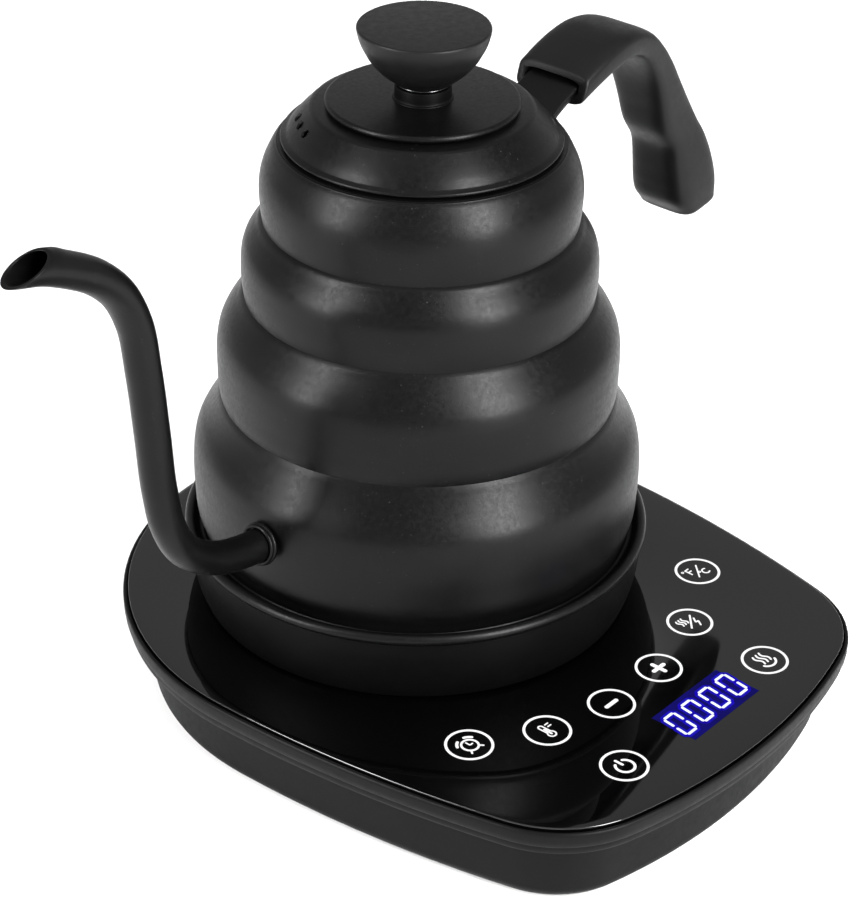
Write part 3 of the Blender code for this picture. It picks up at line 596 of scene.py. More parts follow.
@dataclass
class Assembly:
    """A group of pieces that rides on one body."""

    finishes: Finishes
    pieces: list[bpy.types.Object] = field(default_factory=list)
    body: ClassVar[Body] = Body.BASE

    def settle(self, piece: bpy.types.Object, finish: str, slot: Slot,
               *nodes: str) -> bpy.types.Object:
        """Dress a piece, tie it to the body and hide the CAD nodes that it stands for.

        Args:
            piece: The new piece.
            finish: The finish's name.
            slot: The record's slot; not used.
            nodes: CAD nodes that the piece replaces.

        Returns:
            The same piece.
        """
        self.finishes.dress(piece, finish)
        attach(piece, self.body.value)
        if nodes:
            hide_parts(*nodes)
        self.pieces.append(piece)
        LOG.info("%s on %s, %d faces", piece.name, self.body.value, len(piece.data.polygons))
        return piece


# ---- kettle ----------------------------------------------------------------------------


@dataclass
class Vessel(Assembly):
    """The coated steel vessel with its four swellings, its liner, foot ring and skirt."""

    coat: float = 0.5
    wall: float = 0.9
    ring_radius: float = 73.0
    skirt_wall: float = 2.5
    steps: int = 224
    body = Body.KETTLE

    def swellings(self) -> list[np.ndarray]:
        """Outer line of the vessel, foot to rim, one piece of (radius, height) per swelling."""
        lines = [
            [(67.0, 22.4), (67.0, 24.6), (68.7, 29.5), (69.4, 37.0), (69.6, 46.0), (69.3, 51.0),
             (68.4, 55.6), (66.9, 58.8), (65.0, 61.9), (63.2, 65.3), (61.9, 68.2), (61.3, 69.7),
             (60.9, 70.2)],
            [(61.1, 71.0), (61.4, 73.0), (61.6, 78.0), (61.65, 84.0), (61.45, 88.0), (60.6, 92.0),
             (59.0, 95.4), (56.9, 98.7), (55.1, 101.2), (53.9, 102.9), (53.2, 103.5)],
            [(53.3, 104.3), (53.6, 106.4), (53.9, 110.0), (53.9, 114.0), (53.6, 117.6),
             (52.7, 120.6), (51.0, 123.5), (49.3, 125.9), (48.2, 127.6), (47.4, 128.2)],
            [(47.5, 129.0), (47.8, 131.2), (48.1, 135.0), (48.1, 139.6), (47.6, 142.9),
             (46.7, 145.8), (45.7, 148.0), (44.6, 150.2), (43.6, 151.7), (43.1, 152.2)],
        ]
        return [flow(np.array(line), 44) for line in lines]

    def build_shell(self) -> None:
        """Turn the coat and the bare steel liner; the liner is the same line, moved inwards."""
        outer = np.vstack(self.swellings())
        lip = arc((42.7, 152.1), 0.42, 15.0, 165.0, 7)
        inner = outer[::-1] - [self.coat, 0.0]
        seat = [(41.9, 152.0), (39.3, 151.9)]
        coat = np.vstack([outer, lip, inner[4:]])
        piece = revolve("body_coat", coat, self.steps)
        self.settle(piece, "powder_coat", Slot.POWDER_COAT, "body_shell")
        face = outer[::-1] - [self.coat + 0.02, 0.0]
        back = outer - [self.wall, 0.0]
        top = rounded([(42.4, 152.2), seat[1], (39.3, 148.0), (38.4, 148.0), (38.4, 152.7),
                       (42.6, 152.7)], 0.3, steps=4)
        liner = revolve("body_liner", np.vstack([face[6:], back[:-6]]), self.steps)
        self.settle(liner, "stainless", Slot.STAINLESS)
        rim = revolve("mouth_seat", top, self.steps)
        self.settle(rim, "powder_coat", Slot.POWDER_COAT)

    def build_ring(self) -> None:
        """The rolled ring at the foot: a round roll with a groove between it and the vessel."""
        roll = arc((self.ring_radius - 1.75, 23.5), 1.75, -120.0, 150.0, 26)
        groove = [(69.3, 23.9), (68.7, 22.7), (67.6, 22.6), (67.2, 23.2), (67.2, 21.9),
                  (70.2, 21.75)]
        profile = np.vstack([roll, rounded(groove, 0.35, closed=False, steps=4)])
        piece = revolve("foot_roll", profile, self.steps)
        self.settle(piece, "powder_coat", Slot.POWDER_COAT, "foot_ring")

    def build_skirt(self) -> None:
        """The bowl-shaped skirt: a bellied outer line and the same line moved in by its wall."""
        outer = flow(np.array([(71.6, 21.5), (71.55, 17.0), (71.2, 12.5), (70.5, 8.0),
                               (69.4, 3.8), (68.3, 1.0)]), 40)
        foot = arc((67.3, 1.25), 0.95, -5.0, -90.0, 6)
        inner = outer[::-1] - [self.skirt_wall, 0.0]
        inner = inner[inner[:, 1] > 0.8]
        profile = np.vstack([outer, foot, [(65.9, 0.35)], inner])
        piece = revolve("skirt", profile, self.steps)
        self.settle(piece, "skirt_plastic", Slot.HOUSING, "bottom_housing")

    def build(self) -> None:
        """Build every piece of the vessel."""
        self.build_shell()
        self.build_ring()
        self.build_skirt()


@dataclass
class Spout(Assembly):
    """The gooseneck tube, cut slantwise at its mouth, and its two-ring collar."""

    radius: float = 5.1
    wall: float = 0.8
    route: tuple = ((66.4, 44.9), (72.0, 45.6), (80.0, 46.8), (88.5, 49.2), (96.3, 53.3),
                    (103.3, 59.5), (108.6, 69.4), (111.4, 82.2), (113.5, 102.9),
                    (115.7, 122.6), (118.6, 139.2), (123.8, 149.9), (131.2, 157.5),
                    (141.2, 163.7), (148.4, 167.1), (154.9, 169.2))
    slant: float = 6.4
    collar_place: tuple[float, float] = (71.0, 45.6)
    collar_tilt: float = 9.0
    body = Body.KETTLE

    def build_tube(self) -> None:
        """Carry a circle along the neck, over the lip and back inside.

        Rows near the mouth are sheared: a point moves along the tube by the slant times the
        cosine of its place round the section, faded in over the last tenth of the neck.
        """
        rows, columns = 150, 48
        line = flow(np.array([(-s, z) for s, z in self.route]), rows)
        turn = np.arange(columns) * TAU / columns
        lip = np.radians(np.linspace(0.0, 180.0, 7))[1:-1]
        middle = self.radius - self.wall / 2
        order = np.r_[np.arange(rows), np.full(5, rows - 1), np.arange(rows)[::-1]]
        radii = np.r_[np.full(rows, self.radius), middle + self.wall / 2 * np.cos(lip),
                      np.full(rows, self.radius - self.wall)]
        ahead = np.r_[np.zeros(rows), self.wall / 2 * np.sin(lip), np.zeros(rows)]
        sections = radii[:, None, None] * np.stack([np.cos(turn), np.sin(turn)], -1)[None]
        run, normal = directions(line)
        fade = np.clip((np.arange(rows) / (rows - 1) - 0.9) / 0.1, 0.0, 1.0)
        fade = fade * fade * (3.0 - 2.0 * fade)
        along = ahead[:, None] + self.slant * (fade[order][:, None] * np.cos(turn)[None, :]
                                                * radii[:, None] / self.radius)
        spot = line[order][:, None, :] + sections[..., :1] * normal[order][:, None, :] \
            + along[..., None] * run[order][:, None, :]
        grid = np.stack([spot[..., 0], sections[..., 1], spot[..., 1]], -1)
        piece = surface("gooseneck", stand(grid), wrap_rows=True)
        self.settle(piece, "powder_coat", Slot.POWDER_COAT, "spout_tube")

    def build_collar(self) -> None:
        """Two beads with a groove between them, turned round the tube's own axis."""
        outline = np.vstack([arc((5.95, 0.55), 0.72, -80.0, 60.0, 8),
                             arc((5.75, 1.75), 0.62, -30.0, 90.0, 8), [(5.4, 2.2), (5.4, 0.0)]])
        angle = np.arange(64) * TAU / 64
        tilt = math.radians(self.collar_tilt)
        radius, ahead = outline[:, :1], outline[:, 1:2]
        up = radius * np.cos(angle)
        x = -self.collar_place[0] - ahead * math.cos(tilt) + up * math.sin(tilt)
        z = self.collar_place[1] + ahead * math.sin(tilt) + up * math.cos(tilt)
        grid = np.stack([x, radius * np.sin(angle), z], -1)
        piece = surface("collar_beads", stand(grid), wrap_rows=True)
        self.settle(piece, "powder_coat", Slot.POWDER_COAT, "spout_collar")

    def build(self) -> None:
        """Build the tube and its collar."""
        self.build_tube()
        self.build_collar()


@dataclass
class Handle(Assembly):
    """The flat strap off the shoulder, and the moulded grip that it slides into."""

    strap_width: float = 19.5
    strap_thick: float = 2.4
    stations: tuple = (
        (63.2, 156.3, 60.2, 146.5, 13.4), (69.2, 158.9, 67.4, 149.2, 13.5),
        (76.8, 161.5, 76.4, 151.8, 13.3), (84.8, 162.7, 84.3, 153.3, 13.0),
        (92.8, 161.8, 90.2, 152.7, 12.4), (100.3, 158.5, 94.9, 150.4, 11.8),
        (106.9, 152.8, 99.2, 146.0, 11.2), (113.1, 145.8, 103.4, 139.6, 10.6),
        (119.7, 136.4, 107.8, 128.6, 10.2), (125.0, 128.7, 110.8, 119.6, 10.0),
        (130.8, 119.7, 116.6, 110.8, 10.2), (136.1, 112.2, 118.6, 101.6, 10.8),
        (140.6, 102.8, 119.6, 95.6, 11.3), (143.0, 94.5, 121.4, 89.8, 11.5),
        (143.1, 88.4, 125.0, 85.6, 11.3))
    rim: tuple = ((0.0, 1.0), (0.5, 0.95), (0.75, 0.86), (0.75, 0.58), (0.4, 0.5),
                  (-3.0, 0.48), (-6.5, 0.46))
    squareness: float = 4.2
    tip_reach: float = 2.9
    body = Body.KETTLE

    def grip_grid(self) -> np.ndarray:
        """The grip's surface: squircles between an outer and an inner line.

        At each station the section is spanned by half the vector from the inner to the outer
        line, and by Y. The front end turns in over a rim and sinks into a socket; the lower
        end shrinks as a quarter circle, to a closed tip.
        """
        stations = flow(np.array(self.stations), 110)
        outer, inner = stations[:, :2], stations[:, 2:4]
        middle, half = (outer + inner) / 2, (outer - inner) / 2
        wide = stations[:, 4]
        shape = squircle(np.ones(1), np.ones(1), self.squareness, 64)[0]
        front = -(middle[1] - middle[0]) / np.linalg.norm(middle[1] - middle[0])
        rows = []
        for reach, scale in reversed(self.rim):
            tight = 1.0 - (1.0 - scale) * 0.44
            rows.append((middle[0] + front * reach, half[0] * scale, wide[0] * tight))
        rows += list(zip(middle, half, wide))
        tip = (middle[-1] - middle[-2]) / np.linalg.norm(middle[-1] - middle[-2])
        for turn in np.radians(np.linspace(0.0, 88.0, 10))[1:]:
            rows.append((middle[-1] + tip * self.tip_reach * math.sin(turn),
                         half[-1] * math.cos(turn) ** 0.5, wide[-1] * math.cos(turn) ** 0.35))
        centre = np.array([row[0] for row in rows])
        lift = np.array([row[1] for row in rows])
        width = np.array([row[2] for row in rows])
        spot = centre[:, None, :] + shape[None, :, :1] * lift[:, None, :]
        across = shape[None, :, 1] * width[:, None]
        return np.stack([spot[..., 0], across, spot[..., 1]], -1)

    def build_grip(self) -> None:
        """The moulded grip with its socket at the front."""
        piece = surface("grip", stand(self.grip_grid()), cap_start=True, cap_end=True)
        self.settle(piece, "grip_plastic", Slot.GRIP, "handle_grip")

    def build_strap(self) -> None:
        """The strap: a rounded bar carried from the shoulder into the socket."""
        line = flow(np.array([(47.3, 143.2), (50.5, 145.2), (61.0, 150.3), (68.0, 152.9)]), 40)
        thick, wide = self.strap_thick / 2.0, self.strap_width / 2.0
        corners = [(thick, -wide), (thick, wide), (-thick, wide), (-thick, -wide)]
        section = rounded(corners, 0.9, steps=6)
        flare = 1.0 + 0.10 * np.exp(-np.arange(len(line)) / 4.0)
        sections = section[None] * np.stack([np.ones(len(line)), flare], -1)[:, None, :]
        grid = carry(line, sections)
        piece = surface("strap", stand(grid), cap_start=True, cap_end=True)
        self.settle(piece, "powder_coat", Slot.POWDER_COAT, "handle_strap")

    def build(self) -> None:
        """Build the grip and the strap."""
        self.build_grip()
        self.build_strap()


# ---- lid -------------------------------------------------------------------------------


@dataclass
class Lid(Assembly):
    """The domed lid: raised disc, three bored steam holes, plug, and the knob on its stem."""

    vent_arc: float = 36.3
    vent_height: float = 159.75
    vent_radius: float = 1.45
    vent_tilt: float = 47.0
    vent_angles: tuple = (133.2, 142.5, 151.8)
    vent_lip: float = 0.14
    drill_reach: tuple[float, float] = (-5.0, 4.0)
    plug_line: tuple = ((30.8, 161.9), (36.2, 157.2), (37.4, 155.9), (37.4, 142.5),
                        (36.5, 142.5), (36.5, 155.4), (35.6, 156.2), (30.3, 161.0),
                        (2.4, 161.0), (2.4, 161.9))
    steps: int = 192
    body = Body.LID

    def build_dome(self) -> None:
        """The dome: a bellied skirt up to a flat top, and the same line beneath it."""
        skirt = flow(np.array([(33.0, 163.2), (34.7, 161.5), (36.7, 159.4), (38.6, 157.2),
                               (40.2, 154.9)]), 26)
        rim = arc((41.1, 154.0), 0.6, 60.0, -80.0, 9)
        under = [(40.6, 152.9), (38.7, 155.3), (37.2, 157.2), (35.4, 158.9), (33.6, 160.5),
                 (31.4, 162.2), (0.0, 162.2)]
        profile = np.vstack([[(0.0, 163.5), (31.8, 163.5)], skirt, rim, np.array(under)])
        piece = revolve("dome", profile, self.steps)
        self.bore(piece)
        self.settle(piece, "powder_coat", Slot.POWDER_COAT, "lid_shell")

    def at_vent(self, degrees: float, profile: np.ndarray) -> np.ndarray:
        """Turn a profile round a vent's own axis, square to the dome's slope.

        Args:
            degrees: Where the vent lies round the lid.
            profile: Radii from the vent's axis, and heights along it.

        Returns:
            The grid of points in millimetres.
        """
        turn = math.radians(degrees)
        angle = np.arange(32) * TAU / 32
        radius, height = profile[:, :1], profile[:, 1:2]
        local = np.stack([radius * np.cos(angle), radius * np.sin(angle),
                          height + 0.0 * angle], -1)
        tilt = (Matrix.Rotation(turn, 3, "Z")
                @ Matrix.Rotation(math.radians(self.vent_tilt), 3, "Y"))
        middle = [self.vent_arc * math.cos(turn), self.vent_arc * math.sin(turn), self.vent_height]
        return local @ np.array(tilt).T + np.array(middle)

    def bore(self, piece: bpy.types.Object) -> None:
        """Bore the three steam holes through a piece of the lid."""
        for number, degrees in enumerate(self.vent_angles, start=1):
            line = np.array([(self.vent_radius, reach) for reach in self.drill_reach])
            drill = surface(f"drill_{number}", stand(self.at_vent(degrees, line)),
                            cap_start=True, cap_end=True)
            subtract(piece, drill)

    def build_vents(self) -> None:
        """A thin rolled lip round each steam hole."""
        for number, degrees in enumerate(self.vent_angles, start=1):
            lip = arc((self.vent_radius + 0.13, -0.02), self.vent_lip, 0.0, 360.0, 13)[:-1]
            piece = surface(f"vent_{number}", stand(self.at_vent(degrees, lip)), wrap_rows=True)
            self.settle(piece, "powder_coat", Slot.POWDER_COAT)

    def build_plug(self) -> None:
        """The steel plug under the dome, bored in line with the steam holes."""
        piece = revolve("plug", np.array(self.plug_line), self.steps)
        self.bore(piece)
        self.settle(piece, "stainless", Slot.STAINLESS, "lid_plug")

    def build_disc(self) -> None:
        """The raised disc: flat above, with a rounded edge drawn in beneath."""
        edge = arc((27.7, 165.05), 1.1, 90.0, -60.0, 14)
        profile = np.vstack([[(0.0, 166.15)], edge, [(26.6, 163.8), (0.0, 163.8)]])
        piece = revolve("disc", profile, self.steps)
        self.settle(piece, "powder_coat", Slot.POWDER_COAT, "lid_disc")

    def build_knob(self) -> None:
        """The knob: a flat crown, a thin edge, and a bowl-shaped line down to its foot."""
        bowl = flow(np.array([(19.6, 187.3), (19.2, 185.4), (18.4, 183.0), (17.4, 181.0),
                              (16.3, 179.0), (15.0, 177.2), (13.4, 175.4), (11.5, 173.7),
                              (9.6, 172.3), (8.6, 171.4)]), 44)
        crown = np.vstack([[(0.0, 188.15)], arc((19.0, 187.55), 0.6, 90.0, 0.0, 8)])
        profile = np.vstack([crown, bowl, [(0.0, 171.4)]])
        piece = revolve("knob", profile, self.steps)
        self.settle(piece, "grip_plastic", Slot.GRIP, "lid_knob")
        stem = np.vstack([[(0.0, 170.3)], arc((8.2, 170.1), 0.2, 90.0, 0.0, 4),
                          [(8.4, 167.6)], arc((9.0, 167.0), 0.6, 180.0, 260.0, 5),
                          [(9.0, 166.2), (0.0, 166.2)]])
        piece = revolve("stem", stem, 96)
        self.settle(piece, "skirt_plastic", Slot.GRIP, "knob_stem")
        washer = np.vstack([[(0.0, 171.2)], arc((7.7, 170.85), 0.33, 90.0, -90.0, 9),
                            [(0.0, 170.5)]])
        piece = revolve("washer", washer, 96)
        # The washer's steel is darkened to paint in the shade of the gap beneath the knob.
        self.settle(piece, "shade_darkened_steel", Slot.STAINLESS, "knob_washer")

    def build(self) -> None:
        """Build every piece of the lid."""
        self.build_dome()
        self.build_vents()
        self.build_plug()
        self.build_disc()
        self.build_knob()


# ---- base ------------------------------------------------------------------------------


@dataclass
class PowerBase(Assembly):
    """The base: glass panel, trim band, tub; its outline is arcs that run into one another."""

    rear_radius: float = 92.5
    rear_y: float = -1.0
    side_radius: float = 398.0
    corner_radius: float = 36.6
    corner_x: float = 43.5
    front_radius: float = 198.0
    front_y: float = -134.2
    hole: float = 20.0
    screws: tuple = (("rear_left", (-72.0, 20.0)), ("rear_right", (72.0, 20.0)),
                     ("front_left", (-63.0, -86.0)), ("front_right", (63.0, -86.0)))
    body = Body.BASE

    def outline(self, count: int = 288) -> tuple[np.ndarray, np.ndarray]:
        """Points on the glass's edge and the outward direction at each.

        The right half is four arcs that meet with a common tangent: front, corner, side and
        rear. The corner's centre lies on the front arc's radius line, and the side's centre is
        where two circles of radius side minus corner and side minus rear cross.

        Args:
            count: Points round the whole outline.

        Returns:
            Points and unit outward directions, evenly spaced along the outline.
        """
        front = np.array([0.0, self.front_y + self.front_radius])
        reach = self.front_radius - self.corner_radius
        corner = np.array([self.corner_x, front[1] - math.sqrt(reach**2 - self.corner_x**2)])
        rear = np.array([0.0, self.rear_y])
        to_corner = self.side_radius - self.corner_radius
        to_rear = self.side_radius - self.rear_radius
        gap = rear - corner
        length = np.linalg.norm(gap)
        unit = gap / length
        along = (to_corner**2 - to_rear**2 + length**2) / (2.0 * length)
        away = math.sqrt(to_corner**2 - along**2)
        side = corner + along * unit + away * np.array([-unit[1], unit[0]])
        if side[0] > 0.0:
            side = corner + along * unit - away * np.array([-unit[1], unit[0]])
        turns = [-math.pi / 2, math.atan2(*(corner - front)[::-1]),
                 math.atan2(*(corner - side)[::-1]), math.atan2(*(rear - side)[::-1]), math.pi / 2]
        centres = (front, corner, side, rear)
        radii = (self.front_radius, self.corner_radius, self.side_radius, self.rear_radius)
        spots, ways = [], []
        for centre, radius, start, end in zip(centres, radii, turns[:-1], turns[1:]):
            turn = np.linspace(start, end, 400, endpoint=False)
            way = np.stack([np.cos(turn), np.sin(turn)], -1)
            spots.append(centre + radius * way)
            ways.append(way)
        spot, way = np.vstack(spots), np.vstack(ways)
        mirror = [-1.0, 1.0]
        spot = np.vstack([spot, [(0.0, self.rear_y + self.rear_radius)], spot[:0:-1] * mirror])
        way = np.vstack([way, [(0.0, 1.0)], way[:0:-1] * mirror])
        walk = np.r_[0.0, np.cumsum(np.linalg.norm(np.diff(spot, axis=0), axis=1))]
        at = np.linspace(0.0, walk[-1], count, endpoint=False)
        even = np.stack([np.interp(at, walk, spot[:, k]) for k in (0, 1)], -1)
        facing = np.stack([np.interp(at, walk, way[:, k]) for k in (0, 1)], -1)
        return even, facing / np.linalg.norm(facing, axis=1)[:, None]

    def loft(self, levels: np.ndarray) -> np.ndarray:
        """Grid of the outline moved out by each level's offset, at each level's height."""
        spot, way = self.outline()
        plane = spot[None] + levels[:, 0][:, None, None] * way[None]
        return at_levels(plane, levels[:, 1])

    def hole_rows(self, levels: list[tuple[float, float]]) -> np.ndarray:
        """Rows of the connector's hole, column by column beside the outline's points."""
        spot = self.outline()[0]
        turn = np.arctan2(spot[:, 1], spot[:, 0])
        levels = np.asarray(levels, dtype=float)
        plane = levels[:, 0][:, None, None] * np.stack([np.cos(turn), np.sin(turn)], -1)[None]
        return at_levels(plane, levels[:, 1])

    def build_glass(self) -> None:
        """The glass: a polished bevel round a flat face, with the connector's hole."""
        edge = np.array([(-0.5, -3.0), (-0.1, -2.8), (0.0, -2.5), (0.0, -0.3), (-0.03, -0.16),
                         (-0.1, -0.06), (-0.22, -0.01), (-0.35, 0.0), (-3.0, 0.0)])
        rows = np.concatenate([self.loft(edge), self.hole_rows([(self.hole + 0.4, 0.0),
                                                                (self.hole, -0.3),
                                                                (self.hole, -3.0)])])
        piece = surface("glass", stand(rows), wrap_rows=True)
        self.settle(piece, "black_glass", Slot.GLASS, "glass_panel")

    def build_trim(self) -> None:
        """The band round the glass: a rounded upper edge and a soft belly to its lower edge."""
        band = np.array([(-6.0, -5.8), (0.8, -6.0), (1.25, -5.95), (1.45, -5.6), (1.6, -4.0),
                         (1.68, -2.4), (1.66, -1.6), (1.5, -1.12), (1.2, -0.92), (0.85, -0.88),
                         (0.55, -1.0), (0.4, -1.4), (0.38, -3.3)])
        rows = np.concatenate([self.loft(band), self.hole_rows([(self.hole, -3.3),
                                                                (self.hole, -5.8)])])
        piece = surface("trim_band", stand(rows), wrap_rows=True)
        self.settle(piece, "housing_plastic", Slot.HOUSING, "base_upper_trim")

    def build_tub(self) -> None:
        """The tub: flat floor, rounded lower edge, upright wall, and the flange at its top."""
        edge = arc((-11.2, -28.3), 4.0, -90.0, 0.0, 9)
        wall = [(-7.2, -20.0), (-7.15, -14.0), (-7.0, -10.5), (-6.4, -9.2), (-5.6, -8.8),
                (0.1, -8.8), (0.55, -8.65), (0.75, -8.2), (0.8, -7.0), (0.8, -6.3),
                (-9.4, -6.3), (-9.4, -26.0), (-12.4, -29.0)]
        rows = self.loft(np.vstack([[(-14.0, -32.3)], edge, wall]))
        piece = surface("tub", stand(rows), cap_start=True, cap_end=True)
        self.settle(piece, "housing_plastic", Slot.HOUSING, "base_lower_housing")

    def build_underside(self) -> None:
        """Four screw heads on the tub's floor; round each, a near-black matte ring paints in the
        shade of its well.
        """
        head = rounded([(0.0, 2.6), (2.9, 2.6), (2.9, 0.95), (0.0, 0.75)], 0.5, closed=False)
        well = rounded([(4.0, 1.5), (4.0, 1.1), (3.1, 1.1), (3.1, 1.5)], 0.25, steps=4)
        for corner, spot in self.screws:
            piece = revolve(f"screw_{corner}", head, 32, spot, above_glass=False)
            self.settle(piece, "stainless", Slot.STAINLESS, f"housing_screw_{corner}")
            # The ring is painted shade: a near-black matte band in place of the shaded recess
            # round the screw.
            piece = revolve(f"well_{corner}", well, 40, spot, above_glass=False)
            self.settle(piece, "painted_shade_well", Slot.HOUSING)

    def build(self) -> None:
        """Build every piece of the base."""
        self.build_glass()
        self.build_trim()
        self.build_tub()
        self.build_underside()
        Prints(self).build()


class Sign(Enum):
    """The touch keys: name, radius of the arc they lie on, and angle from the front."""

    TIMER = ("timer", 92.2, -39.4)
    TEMPERATURE = ("temperature", 92.2, -24.2)
    MINUS = ("minus", 91.4, -9.1)
    PLUS = ("plus", 90.5, 6.3)
    BOIL = ("boil", 90.3, 23.7)
    UNIT = ("unit", 91.4, 42.3)
    POWER = ("power", 117.1, -18.0)
    KEEP_WARM = ("keep_warm", 117.3, 17.4)

    @property
    def place(self) -> np.ndarray:
        """Centre of the key in the plane of the glass."""
        radius, degrees = self.value[1:]
        turn = math.radians(degrees)
        return np.array([radius * math.sin(turn), -radius * math.cos(turn)])


@dataclass
class Prints:
    """Rings, signs, digits and the lit window, as thin raised prints on the glass."""

    base: PowerBase
    ring_radius: float = 6.95
    ring_width: float = 0.85
    height: float = 0.06
    display: tuple[float, float] = (4.2, -111.7)
    window: tuple[float, float] = (16.5, 8.0)
    pitch: float = 8.75
    digit_half: tuple[float, float] = (2.4, 4.85)
    corner_gap: float = 0.72
    middle_gap: float = 0.95
    slant: float = 0.13
    sink: float = 0.02

    def stroke(self, points: np.ndarray, width: float, lift: float = 0.0) -> np.ndarray:
        """Grid of one stroke with round ends.

        The half width at a distance d from either end is w * sqrt(1 - (1 - d/w)^2) while d is
        less than w, and w elsewhere; the section is a low box of that half width.

        Args:
            points: The stroke's line in the plane, in millimetres.
            width: Its full width.
            lift: Height of its foot above the glass.

        Returns:
            The grid of points in millimetres.
        """
        line = np.asarray(points, dtype=float)
        walk = np.r_[0.0, np.cumsum(np.linalg.norm(np.diff(line, axis=0), axis=1))]
        half = width / 2.0
        run = np.gradient(line, walk, axis=0)
        run /= np.maximum(np.linalg.norm(run, axis=1), 1e-9)[:, None]
        first, last = line[0] - run[0] * half, line[-1] + run[-1] * half
        line = np.vstack([first, line, last])
        walk = np.r_[0.0, walk + half, walk[-1] + 2 * half]
        total = walk[-1]
        ends = half * (1.0 - np.cos(np.linspace(0.0, math.pi / 2, 7)))
        inner = np.linspace(half, total - half, max(8, int(total / 0.3)))
        at = np.r_[ends[:-1], inner, total - ends[::-1][1:]]
        line = np.stack([np.interp(at, walk, line[:, k]) for k in (0, 1)], -1)
        near = np.clip(np.minimum(at, total - at) / half, 0.0, 1.0)
        reach = half * np.sqrt(np.maximum(0.0, 1.0 - (1.0 - near) ** 2))
        side = directions(line)[1]
        columns = []
        foot, top = lift - self.sink, lift + self.height
        for sign, level in ((1, foot), (1, top), (-1, top), (-1, foot)):
            spot = line + sign * reach[:, None] * side
            columns.append(np.c_[spot, np.full(len(spot), level)])
        return np.stack(columns, axis=1)

    def ring(self, centre: np.ndarray, radius: float, width: float) -> np.ndarray:
        """Grid of a flat ring: a low box section turned round the centre."""
        angle = np.arange(72) * TAU / 72
        radii = radius + width / 2 * np.array([1.0, 1.0, -1.0, -1.0])
        levels = np.array([-self.sink, self.height, self.height, -self.sink])
        plane = centre + radii[:, None, None] * np.stack([np.cos(angle), np.sin(angle)], -1)
        return at_levels(plane, levels)

    def signs(self, sign: Sign) -> list[tuple[np.ndarray, float]]:
        """Strokes (line, width) of a key's sign, about its centre, in millimetres."""
        wave = np.stack([np.sin(np.linspace(0.0, TAU, 24)), np.linspace(0.0, 1.0, 24)], -1)
        if sign is Sign.MINUS:
            return [(np.array([(-2.3, 0.0), (2.3, 0.0)]), 1.4)]
        if sign is Sign.PLUS:
            return [(np.array([(-2.4, 0.0), (2.4, 0.0)]), 1.4),
                    (np.array([(0.0, -2.4), (0.0, 2.4)]), 1.4)]
        if sign is Sign.POWER:
            return [(arc((0.0, -0.3), 2.9, 125.0, 415.0, 40), 0.85),
                    (np.array([(0.0, 0.7), (0.0, 3.3)]), 0.85)]
        if sign is Sign.KEEP_WARM:
            waves = [(np.stack([x + 0.45 * wave[:, 0], -1.2 + 4.6 * wave[:, 1]], -1), 0.62)
                     for x in (-1.6, 0.0, 1.6)]
            return waves + [(arc((0.0, -0.4), 3.1, 205.0, 335.0, 24), 0.75)]
        if sign is Sign.BOIL:
            waves = [(np.stack([x + 0.35 * wave[:, 0], 0.1 + 3.1 * wave[:, 1]], -1), 0.55)
                     for x in (-3.0, -1.8, -0.6)]
            bolt = np.array([(2.6, 0.4), (1.3, -1.4), (2.5, -1.5), (1.2, -3.4)])
            return waves + [(np.array([(-2.2, -2.4), (3.0, 2.2)]), 0.6), (bolt, 0.55)]
        if sign is Sign.UNIT:
            letter_f = [(np.array([(-2.7, 0.1), (-2.7, 3.0)]), 0.5),
                        (np.array([(-2.7, 3.0), (-1.1, 3.0)]), 0.5),
                        (np.array([(-2.7, 1.6), (-1.3, 1.6)]), 0.5)]
            letter_c = [(arc((2.1, -1.8), 1.25, 55.0, 305.0, 24), 0.5)]
            dots = [(arc((-4.0, 3.0), 0.4, 0.0, 360.0, 14), 0.3),
                    (arc((0.1, -0.7), 0.4, 0.0, 360.0, 14), 0.3)]
            return letter_f + letter_c + dots + [(np.array([(-2.2, -2.4), (2.4, 2.4)]), 0.5)]
        if sign is Sign.TEMPERATURE:
            stem = np.vstack([arc((-0.3, 2.3), 0.75, 0.0, 180.0, 10),
                              arc((-0.3, -2.0), 1.3, 125.0, 415.0, 24)])
            stem = np.vstack([stem, stem[:1]])
            marks = [(np.array([(1.6, y), (2.9, y)]), 0.45) for y in (2.2, 1.0)]
            core = [(np.array([(-0.3, -1.9), (-0.3, 0.9)]), 0.7)]
            return [(stem, 0.5)] + core + marks
        hands = [(np.array([(0.0, 1.3), (0.0, -0.3), (1.1, -0.3)]), 0.5)]
        bells = [(arc((0.0, -0.3), 3.9, 112.0, 148.0, 8), 0.9),
                 (arc((0.0, -0.3), 3.9, 32.0, 68.0, 8), 0.9)]
        feet = [(np.array([(-1.9, -2.4), (-2.6, -3.3)]), 0.6),
                (np.array([(1.9, -2.4), (2.6, -3.3)]), 0.6)]
        return [(arc((0.0, -0.3), 2.6, 0.0, 360.0, 40), 0.7)] + hands + bells + feet

    def digit(self, centre: np.ndarray, width: float, lift: float) -> list[np.ndarray]:
        """Lay out one seven-segment zero: six straight segments with gaps between them.

        Args:
            centre: Middle of the digit in the plane of the glass.
            width: Full width of a segment.
            lift: Height of its foot above the glass.

        Returns:
            One grid for each segment, in millimetres.
        """
        half_x, half_y = self.digit_half
        gap = self.corner_gap
        segments = []
        for y in (-half_y, half_y):
            segments.append([(-half_x + gap, y), (half_x - gap, y)])
        for x in (-half_x, half_x):
            for low, high in ((-half_y + gap, -self.middle_gap), (self.middle_gap, half_y - gap)):
                segments.append([(x, low), (x, high)])
        grids = []
        for segment in segments:
            line = np.array(segment)
            line = np.linspace(line[0], line[1], 8)
            line[:, 0] += self.slant * line[:, 1]
            grids.append(self.stroke(centre + line, width, lift))
        return grids

